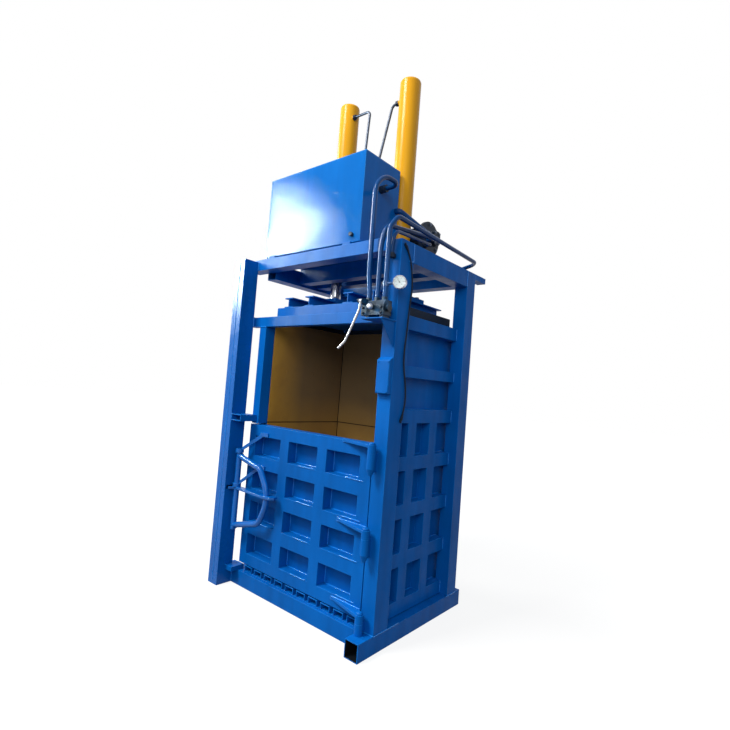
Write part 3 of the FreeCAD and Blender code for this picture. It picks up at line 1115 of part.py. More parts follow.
# ---------------------------------------------------------------------------- valve
shelf = block("shelf_plate", "shelf_left", "post_front - shelf_d", "shelf_top - shelf_t",
              "frame_half - shelf_left", "shelf_d", "shelf_t")
SHELF_LOW = "shelf_top - shelf_t"
gusset = section("shelf_gusset", "x", "frame_half - 2 * shelf_t", "shelf_t", [[
    ("post_front", SHELF_LOW + " - gusset_ht"), ("post_front", SHELF_LOW),
    ("post_front - shelf_d", SHELF_LOW)]])
keep("valve_shelf", fuse("valve_shelf", [shelf, gusset]))
VALVE_TOP = "valve_low + valve_ht"
VALVE_END = "valve_left + valve_len"
valve_block = section("valve_block", "x", "valve_left", "valve_len", [[
    ("valve_front", "valve_low"), ("valve_front", "valve_low + valve_step_z"),
    ("valve_front + valve_step", VALVE_TOP), ("valve_front + valve_d", VALVE_TOP),
    ("valve_front + valve_d", "valve_low")]])
valve_feet = [block("valve_foot_" + name, x, "valve_front + valve_step / 2", "shelf_top", "valve_foot_w",
                    "valve_d - valve_step", "valve_lift")
              for name, x in (("left", "shelf_left + valve_foot_in"),
                              ("right", VALVE_END + " - valve_foot_in - valve_foot_w"))]
spool_end = rod("valve_spool_end", "spool_r", "spool_len", VALVE_END, "valve_front + valve_d / 2",
                "valve_low + valve_ht / 2", Vector(0, 1, 0), 90)
valve_plug = hexagon("valve_plug", "valve_left + plug_run", "valve_front", "valve_low + plug_high", "plug_r",
                     "plug_len / 2", Vector(1, 0, 0), 90)
valve_nuts = [hexagon("valve_nut_" + name, x, "pipe_y", VALVE_TOP, "nut_r", "nut_ht")
              for name, x in (("a", "pipe_a + set_side"), ("b", "pipe_b"), ("c", "pipe_c"))]
HUB_LEFT = "lever_x - lever_hub_w / 2"
ears = []
for name, x in (("left", HUB_LEFT + " - ear_t - eye_gap"), ("right", HUB_LEFT + " + lever_hub_w + eye_gap")):
    ears.append(rod("lever_ear_" + name, "ear_r", "ear_t", x, "lever_y", "lever_z", Vector(0, 1, 0), 90))
    ears.append(block("lever_arm_" + name, x, "lever_y", "lever_z - ear_r", "ear_t",
                      "valve_front + valve_step + ear_weld - lever_y", "2 * ear_r"))
lever_pin = rod("lever_pin", "lever_pin_r", "lever_hub_w + 2 * ear_t", HUB_LEFT + " - ear_t", "lever_y",
                "lever_z", Vector(0, 1, 0), 90)
ear_block = block("lever_ear_block", HUB_LEFT + " - ear_t - eye_gap", "valve_front - ear_weld",
                  "lever_z - ear_r",
                  "lever_hub_w + 2 * (ear_t + eye_gap)", "valve_step + 2 * ear_weld", "2 * ear_r")
keep("valve_body", fuse("valve_body", [valve_block] + valve_feet + [spool_end, valve_plug] + valve_nuts + ears
                        + [lever_pin, ear_block]))
lever_points = [spot("lever_x", "lever_y", "lever_z"),
                spot("lever_x - lever_neck", "lever_y", "lever_z - lever_neck_z"),
                spot("lever_x - lever_bend_x", "lever_y", "lever_z - lever_bend_z"),
                spot("lever_x - lever_tip", "lever_y", "lever_z - lever_tip_z")]
lever_rod = swept("lever_rod", lever_points, ["lever_bend", "lever_bend"], "lever_r")
hub = rod("lever_hub", "lever_hub_r", "lever_hub_w", HUB_LEFT, "lever_y", "lever_z", Vector(0, 1, 0), 90)
hub_hole = rod("lever_hub_hole", "lever_pin_r + pin_fit", "3 * lever_hub_w", HUB_LEFT + " - lever_hub_w",
               "lever_y", "lever_z", Vector(0, 1, 0), 90)
keep("valve_lever", cut("valve_lever", fuse("lever_weld", [lever_rod, hub]), hub_hole))

# ---------------------------------------------------------------------------- pipes
PIPE_Z = VALVE_TOP + " + nut_ht"
NUT_FACE = "port_x + nut_ht"
BULK_Y = "post_front - bulkhead_out"
SET_X = "pipe_a + set_side"
pipe_a_points = [spot(SET_X, "pipe_y", PIPE_Z), spot(SET_X, "pipe_y", PIPE_Z + " + set_low"),
                 spot("pipe_a", "pipe_y", PIPE_Z + " + set_high"), spot("pipe_a", "pipe_y", "line_a_z"),
                 spot("pipe_a", "line_a_y", "line_a_z"), spot("tank_right + fit_len", "line_a_y", "line_a_z")]
keep("pipe_tank_return", swept("pipe_tank_return", pipe_a_points,
                               ["bend_wide", "bend_wide", "bend_arch", "bend_mid"], "pipe_r"))
pipe_b_points = [spot("pipe_b", "pipe_y", PIPE_Z), spot("pipe_b", "pipe_y", "frame_ht - pipe_b_drop"),
                 spot("pipe_b + pipe_b_side", "pipe_y", "frame_ht + pipe_b_rise"),
                 spot(NUT_FACE + " + pipe_b_out", "port_y", "port_high"),
                 spot(NUT_FACE, "port_y", "port_high")]
keep("pipe_pump", swept("pipe_pump", pipe_b_points, ["bend_rise", "bend_mid", "bend_port"], "pipe_r"))

# the third pipe runs back over the side beam, round behind the posts and to both rod side ports
RUN_Z = "frame_ht + run_rise"
RUN_Y = "post_rear + post_rear_d + stub_len"
ROD_PORT_Y = "cyl_y + boss_rear"
pipe_c_points = [spot("pipe_c", "pipe_y", PIPE_Z), spot("pipe_c", "pipe_y", "frame_ht + pipe_c_rise"),
                 spot("frame_half - run_front", BULK_Y, RUN_Z), spot("frame_half - run_rear", RUN_Y, RUN_Z),
                 spot("cyl_x", RUN_Y, "rod_port_z"), spot("cyl_x", ROD_PORT_Y, "rod_port_z")]
ROD_TEE_Y = "cyl_y + rod_tee_run"
rod_tee = block("rod_tee", "cyl_x - rod_tee / 2", ROD_TEE_Y + " - rod_tee / 2", "rod_port_z - rod_tee / 2",
                "rod_tee", "rod_tee", "rod_tee")
branch_points = [spot("cyl_x - rod_tee / 2", ROD_TEE_Y, "rod_port_z"),
                 spot("-cyl_x", ROD_TEE_Y, "rod_port_z"),
                 spot("-cyl_x", ROD_PORT_Y, "rod_port_z")]
rod_side_pipe = swept("rod_side_pipe", pipe_c_points, ["bend_run", "bend_run", "bend_mid", "bend_mid"],
                      "pipe_r")
keep("pipe_rod_side", group("pipe_rod_side", [
    fuse("rod_side_run", [rod_side_pipe, rod_tee]),
    swept("rod_side_branch", branch_points, ["bend_mid"], "pipe_r")]))
pump_line_points = [spot(NUT_FACE, "port_y", "port_low"), spot(NUT_FACE + " + line_out", "port_y",
                                                               "port_low"),
                    spot("bulkhead_x + line_lean", BULK_Y, "frame_ht + line_rise"),
                    spot("bulkhead_x", BULK_Y, "bulkhead_z + line_drop"),
                    spot("bulkhead_x", BULK_Y, "bulkhead_z")]
keep("pump_line", swept("pump_line", pump_line_points, ["line_bend", "bend_run", "bend_mid"],
                        "line_r + line_over"))
BULK_LOW = "bulkhead_z - bulkhead_ht"
bulkhead = hexagon("bulkhead_nut", "bulkhead_x", BULK_Y, BULK_LOW, "nut_r", "bulkhead_ht")
bulkhead_seat = block("bulkhead_seat", "bulkhead_x - bulkhead_w / 2", BULK_Y, BULK_LOW, "bulkhead_w",
                      "bulkhead_out", "bulkhead_ht * 0.8")
keep("pipe_fittings", group("pipe_fittings", [plug, filler, inlet,
                                              fuse("bulkhead", [bulkhead, bulkhead_seat])]))

# the cap side lines of the cylinders meet in a tee on the back of the tank
TEE_TOP = "tee_z + tee_ht"
TEE_Y = "tank_rear + tee_d - tee_inset"
TAIL_Z = "tee_z + tee_ht + cap_tail"
LINE_Y = "cyl_y + boss_y"
tee = block("cap_tee", "tee_x - tee_w / 2", "tank_rear", "tee_z", "tee_w", "tee_d", "tee_ht")
right_points = [spot("cyl_x - boss_reach", LINE_Y, "cap_z"), spot("cyl_x - boss_reach - cap_out", LINE_Y,
                                                                  "cap_z"),
                spot("cap_mid_x", "cap_mid_y", "%s + cap_share * (cap_z - (%s))" % (TAIL_Z, TAIL_Z)),
                spot("tee_x + tee_port", TEE_Y, TAIL_Z), spot("tee_x + tee_port", TEE_Y, TEE_TOP)]
left_points = [spot("boss_reach - cyl_x", LINE_Y, "cap_left_z"), spot("cap_left_x", LINE_Y, "cap_left_z"),
               spot("cap_left_mid", "cap_left_y", "%s + cap_left_share * (cap_left_z - (%s))" % (TAIL_Z,
                                                                                                 TAIL_Z)),
               spot("tee_x - tee_port", TEE_Y, TAIL_Z), spot("tee_x - tee_port", TEE_Y, TEE_TOP)]
CAP_BENDS = ["cap_turn", "bend_wide", "bend_mid"]
cap_lines = [swept("cap_line_right", right_points, CAP_BENDS, "line_r"),
             swept("cap_line_left", left_points, CAP_BENDS, "line_r")]
keep("cap_lines", group("cap_lines", cap_lines + [tee]))

# ---------------------------------------------------------------------------- gauge
GAUGE_TURN = FreeCAD.Rotation(Vector(0, 0, 1), worth("gauge_turn")) * FreeCAD.Rotation(Vector(1, 0, 0), 90)


def gauge_part(thing):
    """Turn a part about the gauge axis to face the front and seat it at the gauge centre."""
    thing.Placement = FreeCAD.Placement(Vector(), GAUGE_TURN)
    place(thing, "gauge_x", "pipe_y", "gauge_z")
    return thing


GLASS_BACK = "gauge_d / 2 - gauge_glass_t"
DIAL_Z = "gauge_d / 2 - gauge_recess"
case = gauge_part(revolved("gauge_case_turn", [
    (0, "-gauge_d / 2"), ("gauge_r - gauge_back", "-gauge_d / 2"), ("gauge_r", "gauge_back - gauge_d / 2"),
    ("gauge_r", "gauge_d / 2 - gauge_bezel"), ("gauge_r - gauge_lip", "gauge_d / 2"),
    ("gauge_dial_r", "gauge_d / 2"),
    ("gauge_dial_r", DIAL_Z), ("spindle_r", DIAL_Z), ("spindle_r", GLASS_BACK + " - needle_gap"),
    (0, GLASS_BACK + " - needle_gap")]))
stem = rod("gauge_stem", "stem_r", "gauge_x - gauge_r + gauge_sink - pipe_c", "pipe_c", "pipe_y", "gauge_z",
           Vector(0, 1, 0), 90)
collar = rod("gauge_collar", "pipe_r + collar_t", "collar_ht", "pipe_c", "pipe_y", "gauge_z - collar_ht / 2")
pipe_way = rod("gauge_pipe_way", "pipe_r", "2 * collar_ht", "pipe_c", "pipe_y", "gauge_z - collar_ht")
keep("gauge_case", cut("gauge_case", fuse("gauge_weld", [case, stem, collar]), pipe_way))
keep("gauge_glass", gauge_part(revolved("gauge_glass_turn", [
    (0, GLASS_BACK), ("gauge_dial_r", GLASS_BACK),
    ("gauge_dial_r", "gauge_d / 2"), (0, "gauge_d / 2")])))
needle = doc.addObject("PartDesign::Body", "gauge_needle")
pad(needle, "z", "needle", [[("-needle_len * 0.3", "-needle_w / 2"), ("needle_len", "-needle_w / 6"),
                            ("needle_len", "needle_w / 6"), ("-needle_len * 0.3", "needle_w / 2")]],
    "needle_t")
pad(needle, "z", "needle_hub", [], "needle_t", [(0, 0, "spindle_r + 2")])
doc.recompute()
needle_hole = sketch(needle, "XY_Plane", "needle_hole_sketch")
ring(needle_hole, 0, 0, "spindle_r + pin_fit")
through = needle.newObject("PartDesign::Pocket", "needle_hole")
through.Profile = needle_hole
through.Type = "ThroughAll"
through.Reversed = True
NEEDLE_REST = 125
needle.Placement = FreeCAD.Placement(Vector(), GAUGE_TURN * FreeCAD.Rotation(Vector(0, 0, 1), NEEDLE_REST))
lift = GAUGE_TURN.multVec(Vector(0, 0, worth(DIAL_Z + " + needle_gap")))
place(needle, "gauge_x + %.6f" % lift.x, "pipe_y + %.6f" % lift.y, "gauge_z + %.6f" % lift.z)
keep("gauge_needle", needle)

# ---------------------------------------------------------------------------- box and cable
BOX_FRONT = "post_front - box_d"
keep("post_box", section("post_box", "x", "frame_half - (rail_w + box_w) / 2", "box_w", [[
    ("post_front", "box_z"), ("post_front", "box_z + box_ht"), (BOX_FRONT, "box_z + box_ht - box_slope"),
    (BOX_FRONT, "box_z")]]))

# the cable on the hinge post hangs from a gland near the top down to a second gland
# each point: behind the post's front, below its top, off its face
CABLE_LINE = [(35, 38, 0), (75, 80, 0), (102, 160, 1.6), (117, 250, 0.8), (108, 330, 0.2), (98, 420, 1.2),
              (94, 510, 1.8), (83, 600, 0.9), (89, 695, 0.2), (116, 785, 0.8), (127, 875, 1.4), (115, 940, 0),
              (102, 978, 0)]
off_post = worth("frame_half + cable_r + cable_clear")
cable_points = [Vector(off_post + out, worth("post_front") + back, worth("frame_ht") - down)
                for back, down, out in CABLE_LINE]
cable_bends = sweeping(cable_points)
keep("cable", swept("cable", cable_points, cable_bends, "cable_r"))
glands = []
for name, end, inner in (("top", cable_points[0], cable_points[1]),
                         ("low", cable_points[-1], cable_points[-2])):
    away = (end - inner).normalize()
    gland = doc.addObject("Part::Cylinder", "gland_body_" + name)
    gland.setExpression("Radius", bound("cable_r + cable_clear"))
    gland.setExpression("Height", bound("gland_len"))
    gland.Placement = FreeCAD.Placement(end, FreeCAD.Rotation(Vector(0, 0, 1), away))
    seat = block("gland_seat_" + name, "frame_half", end.y + 0.5 * away.y * worth("gland_len") - 7,
                 end.z + 0.5 * away.z * worth("gland_len") - 7, "cable_r + cable_clear", 14, 14)
    glands.append(fuse("cable_gland_" + name, [gland, seat]))
keep("cable_glands", group("cable_glands", glands))

# ---------------------------------------------------------------------------- check and write
doc.recompute()
length = doc.getObject("cable_path").Shape.Length
solid_length = NODES["cable"].Shape.Volume / (math.pi * worth("cable_r") ** 2)
print("cable %.0f mm, volume off %.3f %%, tightest bend %.0f mm" % (
    length, 100 * abs(solid_length / length - 1), min(cable_bends)))
for thing in doc.Objects:
    if "Invalid" in thing.State or "Error" in thing.State:
        raise RuntimeError("not built: " + thing.Name)
os.makedirs("parts", exist_ok=True)
for name, thing in NODES.items():
    if thing.Shape.isNull() or not thing.Shape.isValid():
        raise RuntimeError("bad shape: " + name)
    thing.Shape.exportStep("parts/%s.step" % name)
print(len(NODES), "pieces")
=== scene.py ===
import math

import bmesh
import bpy
from mathutils import Matrix, Vector


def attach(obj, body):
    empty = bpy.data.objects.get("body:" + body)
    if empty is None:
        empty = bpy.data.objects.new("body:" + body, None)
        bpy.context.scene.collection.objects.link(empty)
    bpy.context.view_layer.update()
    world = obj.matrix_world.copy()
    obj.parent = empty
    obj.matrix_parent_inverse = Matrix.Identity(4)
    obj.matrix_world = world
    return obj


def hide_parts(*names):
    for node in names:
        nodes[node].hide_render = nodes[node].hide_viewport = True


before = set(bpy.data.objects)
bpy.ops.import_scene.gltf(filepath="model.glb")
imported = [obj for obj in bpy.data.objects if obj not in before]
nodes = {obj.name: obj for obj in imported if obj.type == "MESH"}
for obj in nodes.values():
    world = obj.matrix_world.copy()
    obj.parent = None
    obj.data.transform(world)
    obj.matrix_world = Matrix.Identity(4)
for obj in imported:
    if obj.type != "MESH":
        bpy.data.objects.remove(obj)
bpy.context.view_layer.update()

# ------------------------------------------------------------------------------ camera
# The photograph was taken from the front right corner, at chest height, with a wide lens and
# the camera tipped a little to one side, so the posts lean.
camera_data = bpy.data.cameras.new("camera")
camera_data.lens = 23.5
camera_data.sensor_width = 36.0
camera = bpy.data.objects.new("camera", camera_data)
bpy.context.collection.objects.link(camera)
bpy.context.scene.camera = camera

stand = Vector((2.1381, -2.4512, 1.3736))
azimuth = math.radians(40.25)
rise = math.radians(2.83)
tip = math.radians(4.38)
ahead = Vector((-math.sin(azimuth) * math.cos(rise), math.cos(azimuth) * math.cos(rise),
                math.sin(rise)))
level_right = ahead.cross(Vector((0, 0, 1))).normalized()
level_up = level_right.cross(ahead)
camera_right = level_right * math.cos(tip) + level_up * math.sin(tip)
camera_up = level_up * math.cos(tip) - level_right * math.sin(tip)
turn = Matrix((camera_right, camera_up, -ahead)).transposed()
camera.matrix_world = Matrix.Translation(stand) @ turn.to_4x4()

# ------------------------------------------------------------------------------ cable
# A thin round control cable in a black rubber sheath. It comes out of a gland near the top of
# the hinge post, hangs down the outer face of the post and goes back in at a second gland. A
# ribbed rubber boot takes the strain at both.


def new_finish(name):
    """A material with its node tree, its shader and the coordinates of the object."""
    made = bpy.data.materials.new(name)
    made.use_nodes = True
    tree = made.node_tree
    place = tree.nodes.new("ShaderNodeTexCoord").outputs["Object"]
    return made, tree, tree.nodes["Principled BSDF"], place


def stretched(tree, place, scale):
    """The coordinates, stretched along each axis."""
    mapping = tree.nodes.new("ShaderNodeMapping")
    mapping.inputs["Scale"].default_value = scale
    tree.links.new(place, mapping.inputs["Vector"])
    return mapping.outputs["Vector"]


def noise(tree, place, scale, detail=3.0):
    """Cloudy noise of about 1 / scale metres."""
    cloud = tree.nodes.new("ShaderNodeTexNoise")
    cloud.inputs["Scale"].default_value = scale
    cloud.inputs["Detail"].default_value = detail
    tree.links.new(place, cloud.inputs["Vector"])
    return cloud.outputs["Fac"]


def graded(tree, value, stops):
    """A colour that follows a value through stops of (position, colour)."""
    ramp = tree.nodes.new("ShaderNodeValToRGB")
    steps = ramp.color_ramp.elements
    while len(steps) < len(stops):
        steps.new(0.5)
    for step, (position, colour) in zip(steps, stops):
        step.position = position
        step.color = (*colour, 1.0)
    tree.links.new(value, ramp.inputs["Fac"])
    return ramp.outputs["Color"]


def spread(tree, value, low, high, start=0.3, end=0.7):
    """A value spread from low to high while the input goes from start to end."""
    reach = tree.nodes.new("ShaderNodeMapRange")
    reach.inputs["From Min"].default_value = start
    reach.inputs["From Max"].default_value = end
    reach.inputs["To Min"].default_value = low
    reach.inputs["To Max"].default_value = high
    tree.links.new(value, reach.inputs["Value"])
    return reach.outputs["Result"]


def relief(tree, shader, layers, rounding=0.0):
    """Bumps of (height value, depth in metres) over each other, on edges rounded by a radius."""
    normal = None
    if rounding:
        soft = tree.nodes.new("ShaderNodeBevel")
        soft.samples = 4
        soft.inputs["Radius"].default_value = rounding
        normal = soft.outputs["Normal"]
    for height, depth in layers:
        bump = tree.nodes.new("ShaderNodeBump")
        bump.inputs["Distance"].default_value = depth
        tree.links.new(height, bump.inputs["Height"])
        if normal is not None:
            tree.links.new(normal, bump.inputs["Normal"])
        normal = bump.outputs["Normal"]
    tree.links.new(normal, shader.inputs["Normal"])


def mottled(name, scale, detail, stops, gloss, pits, metal=0.0, shine=0.5, rounding=0.0, pull=None):
    """A finish with one cloudy noise in its tone and its gloss, over pits of (scale, detail,
    depth). The cloud can be pulled along the axes."""
    made, tree, shader, place = new_finish(name)
    cloud = noise(tree, stretched(tree, place, pull) if pull else place, scale, detail)
    tree.links.new(graded(tree, cloud, stops), shader.inputs["Base Color"])
    tree.links.new(spread(tree, cloud, *gloss), shader.inputs["Roughness"])
    shader.inputs["Metallic"].default_value = metal
    shader.inputs["Specular IOR Level"].default_value = shine
    pit_scale, pit_detail, pit_depth = pits
    relief(tree, shader, [(noise(tree, place, pit_scale, pit_detail), pit_depth)], rounding)
    return made


def dress(finish, *names):
    """The finish on CAD nodes."""
    for name in names:
        mesh = nodes[name].data
        mesh.materials.clear()
        mesh.materials.append(finish)


def alone(piece=None):
    """Nothing selected but this piece, which is then the one in hand."""
    if bpy.context.mode != "OBJECT":
        bpy.ops.object.mode_set(mode="OBJECT")
    bpy.ops.object.select_all(action="DESELECT")
    if piece is not None:
        piece.select_set(True)
        bpy.context.view_layer.objects.active = piece


def choose(kind, wanted):
    """Edit mode on the piece in hand, with the faces, edges or points selected that pass a test
    of their place (and of a face's normal, or of an edge's two ends)."""
    bpy.ops.object.mode_set(mode="EDIT")
    bpy.ops.mesh.select_mode(type=kind)
    bpy.ops.mesh.select_all(action="DESELECT")
    shell = bmesh.from_edit_mesh(bpy.context.object.data)
    if kind == "FACE":
        chosen = [face for face in shell.faces if wanted(face.calc_center_median(), face.normal)]
    elif kind == "EDGE":
        chosen = [edge for edge in shell.edges if wanted(edge.verts[0].co, edge.verts[1].co)]
    else:
        chosen = [point for point in shell.verts if wanted(point.co)]
    for part in chosen:
        part.select_set(True)
    shell.select_flush_mode()
    bmesh.update_edit_mesh(bpy.context.object.data)


def seated(piece, point, facing, roll=0.0):
    """The piece turned from +Z to face a direction, and moved to a point."""
    aim = Vector(facing).to_track_quat("Z", "Y").to_matrix().to_4x4()
    piece.matrix_world = Matrix.Translation(point) @ aim @ Matrix.Rotation(roll, 4, "Z")


def finished(name, finish, body, smooth=35.0):
    """The piece in hand with its place in its mesh, smoothed, painted, and riding on a body."""
    piece = bpy.context.object
    alone(piece)
    bpy.ops.object.transform_apply(location=True, rotation=True, scale=True)
    bpy.ops.object.shade_smooth_by_angle(angle=math.radians(smooth))
    piece.name = name
    piece.data.materials.clear()
    piece.data.materials.append(finish)
    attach(piece, body)
    return piece


def in_one(pieces):
    """Pieces joined into one, which is then the one in hand."""
    alone(pieces[0])
    for piece in pieces:
        piece.select_set(True)
    if len(pieces) > 1:
        bpy.ops.object.join()
    return bpy.context.object


def copied(pattern, seats):
    """A copy of a piece on each seat of (point, facing), joined. The pattern goes."""
    copies = []
    for point, facing in seats:
        alone(pattern)
        bpy.ops.object.duplicate()
        seated(bpy.context.object, point, facing)
        copies.append(bpy.context.object)
    bpy.data.objects.remove(pattern)
    return in_one(copies)


rubber = mottled("cable_rubber", 60.0, 3.0,
                 [(0.3, (0.004, 0.009, 0.020)), (0.7, (0.008, 0.020, 0.044))],
                 gloss=(0.45, 0.65), pits=(900.0, 3.0, 0.0003), shine=0.10)

CABLE_PLANE = 0.6198
CABLE_RADIUS = 0.0045
# (depth, height, distance off the post) of the points that the cable follows
cable_run = [
    (-0.385, 2.162, 0.0), (-0.345, 2.120, 0.0), (-0.318, 2.040, 0.0016),
    (-0.303, 1.950, 0.0008), (-0.312, 1.870, 0.0002), (-0.322, 1.780, 0.0012),
    (-0.326, 1.690, 0.0018), (-0.337, 1.600, 0.0009), (-0.331, 1.505, 0.0002),
    (-0.304, 1.415, 0.0008), (-0.293, 1.325, 0.0014), (-0.305, 1.260, 0.0),
    (-0.318, 1.222, 0.0)]
cable_curve = bpy.data.curves.new("cable_cord", "CURVE")
cable_curve.dimensions = "3D"
cable_curve.bevel_depth = CABLE_RADIUS
cable_curve.bevel_resolution = 5
cable_curve.use_fill_caps = True
cable_spline = cable_curve.splines.new("NURBS")
cable_spline.points.add(len(cable_run) - 1)
for knot, (depth, height, out) in zip(cable_spline.points, cable_run):
    knot.co = (CABLE_PLANE + out, depth, height, 1.0)
cable_spline.order_u = 3
cable_spline.use_endpoint_u = True
cable_spline.resolution_u = 10
cable_curve.materials.append(rubber)
cable = bpy.data.objects.new("cable_cord", cable_curve)
bpy.context.collection.objects.link(cable)
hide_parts("cable")
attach(cable, "frame")
dress(rubber, "cable", "cable_glands")

BOOT_LENGTH = 0.032
BOOT_CUTS = 8
GROOVE_WIDE = 0.0036
boots = []
for end, towards in ((cable_run[0], cable_run[1]), (cable_run[-1], cable_run[-2])):
    bpy.ops.object.select_all(action="DESELECT")
    bpy.ops.mesh.primitive_cone_add(vertices=20, radius1=0.0088, radius2=0.0058, depth=BOOT_LENGTH,
                                    location=(0.0, 0.0, 0.013))
    choose("EDGE", lambda a, b: abs(a.z - b.z) > 0.02)
    bpy.ops.mesh.subdivide(number_cuts=BOOT_CUTS)
    for ring in range(1, BOOT_CUTS, 2):
        low = BOOT_LENGTH * (ring / (BOOT_CUTS + 1) - 0.5)
        choose("FACE", lambda c, n: low < c.z < low + GROOVE_WIDE and abs(n.z) < 0.5)
        bpy.ops.mesh.inset(thickness=0.0005, depth=-0.0009)
    start = Vector((CABLE_PLANE, end[0], end[1]))
    along = Vector((CABLE_PLANE, towards[0], towards[1])) - start
    bpy.ops.object.mode_set(mode="OBJECT")
    bpy.ops.object.transform_apply(location=True)
    seated(bpy.context.object, start, along)
    boots.append(bpy.context.object)
in_one(boots)
finished("cable_boots", rubber, "frame", 40.0)

# ------------------------------------------------------------------------------ studio
# A high soft sky light from the front, a pale sky all round, bright cards that only show as
# the gloss on the tank and the tall post, and a pale floor that keeps the shadow of the baler.
world = bpy.data.worlds.new("sky")
bpy.context.scene.world = world
world.use_nodes = True
sky_tree = world.node_tree
soft_sky = sky_tree.nodes["Background"]
soft_sky.inputs["Color"].default_value = (0.82, 0.92, 1.0, 1.0)
soft_sky.inputs["Strength"].default_value = 0.42
white_sky = sky_tree.nodes.new("ShaderNodeBackground")
white_sky.inputs["Color"].default_value = (1.0, 1.0, 1.0, 1.0)
white_sky.inputs["Strength"].default_value = 1.0


def joined_by(tree, way, first, second):
    """Two values made one, by MINIMUM, MAXIMUM or MULTIPLY."""
    more = tree.nodes.new("ShaderNodeMath")
    more.operation = way
    tree.links.new(first, more.inputs[0])
    tree.links.new(second, more.inputs[1])
    return more.outputs["Value"]


def shown_rays(tree):
    """1 for the rays of the camera, of gloss and of glass, else 0."""
    rays = tree.nodes.new("ShaderNodeLightPath").outputs
    seen = joined_by(tree, "MAXIMUM", rays["Is Camera Ray"], rays["Is Glossy Ray"])
    return joined_by(tree, "MAXIMUM", seen, rays["Is Transmission Ray"])


sky_mix = sky_tree.nodes.new("ShaderNodeMixShader")
sky_tree.links.new(shown_rays(sky_tree), sky_mix.inputs["Fac"])
sky_tree.links.new(soft_sky.outputs["Background"], sky_mix.inputs[1])
sky_tree.links.new(white_sky.outputs["Background"], sky_mix.inputs[2])
sky_tree.links.new(sky_mix.outputs["Shader"], sky_tree.nodes["World Output"].inputs["Surface"])


def lamp(name, place, aim, width, height, power, colour=(1.0, 1.0, 1.0)):
    """A soft flat light that faces a point."""
    data = bpy.data.lights.new(name, "AREA")
    data.shape = "RECTANGLE"
    data.size = width
    data.size_y = height
    data.energy = power
    data.color = colour
    made = bpy.data.objects.new(name, data)
    made.matrix_world = Matrix.Translation(place) @ (
        Vector(aim) - Vector(place)).to_track_quat("-Z", "Y").to_matrix().to_4x4()
    bpy.context.collection.objects.link(made)
    return made


lamp("key", (-1.7, -4.9, 7.1), (0.1, 0.0, 1.3), 2.2, 2.2, 650.0, (1.0, 0.98, 0.95))
lamp("front_right", (3.2, -4.6, 3.6), (-0.3, 0.0, 1.3), 2.6, 2.6, 115.0)
lamp("left", (-6.5, -1.6, 5.2), (0.0, 0.0, 2.4), 1.6, 1.6, 430.0, (1.0, 0.98, 0.94))

# cards that hang where the tank's front and the tall post mirror them towards the camera
TANK_FRONT = (-0.4, -0.42, 2.35)
PALE_SKY = (0.76, 0.93, 1.0)
cards = [("card_high", (-3.06, -2.87, 3.84), 0.26, 0.40, 56.0),
         ("card_mid", (-3.22, -2.85, 3.58), 0.42, 0.38, 92.0),
         ("card_low", (-3.44, -2.80, 3.34), 0.42, 0.26, 62.0),
         ("card_edge", (-3.62, -2.67, 4.11), 0.10, 0.34, 24.0),
         ("card_post", (-3.97, -2.76, 2.95), 0.40, 0.70, 250.0)]
for name, place, width, height, power in cards:
    card = lamp(name, place, TANK_FRONT, width, height, power, PALE_SKY)
    card.visible_diffuse = False

FLOOR_SIDE = 60.0
UNDER_RAILS = -0.0005
bpy.ops.object.select_all(action="DESELECT")
bpy.ops.mesh.primitive_plane_add(size=FLOOR_SIDE, location=(0.0, 0.0, UNDER_RAILS))
floor = bpy.context.object
floor.name = "studio_floor"
floor_finish, tree, shader, place = new_finish("studio_floor")
shader.inputs["Roughness"].default_value = 0.9
shader.inputs["Base Color"].default_value = (0.16, 0.16, 0.16, 1.0)
shader.inputs["Specular IOR Level"].default_value = 0.0
lift = tree.nodes.new("ShaderNodeEmission")
away = tree.nodes.new("ShaderNodeVectorMath")
away.operation = "LENGTH"
tree.links.new(place, away.inputs[0])
whiter = spread(tree, away.outputs["Value"], low=0.86, high=1.0, start=1.5, end=5.0)
tree.links.new(joined_by(tree, "MULTIPLY", shown_rays(tree), whiter), lift.inputs["Strength"])
both = tree.nodes.new("ShaderNodeAddShader")
tree.links.new(shader.outputs["BSDF"], both.inputs[0])
tree.links.new(lift.outputs["Emission"], both.inputs[1])
tree.links.new(both.outputs["Shader"], tree.nodes["Material Output"].inputs["Surface"])
floor.data.materials.append(floor_finish)
bpy.context.scene.view_settings.view_transform = "Standard"

# ------------------------------------------------------------------------------ blue frame
# Welded square tube, channel and plate, sprayed with one coat of gloss machine blue. The coat is
# paler on the edges, partly from wear and partly as painted highlight, and a little orange peel on
# the faces, with fine weld runs at the joints in a paler blue that is painted highlight.


def covered(tree, under, over, amount):
    """A colour with another laid over it by an amount."""
    mix = tree.nodes.new("ShaderNodeMix")
    mix.data_type = "RGBA"
    tree.links.new(amount, mix.inputs["Factor"])
    tree.links.new(under, mix.inputs["A"])
    mix.inputs["B"].default_value = (*over, 1.0)
    return mix.outputs["Result"]


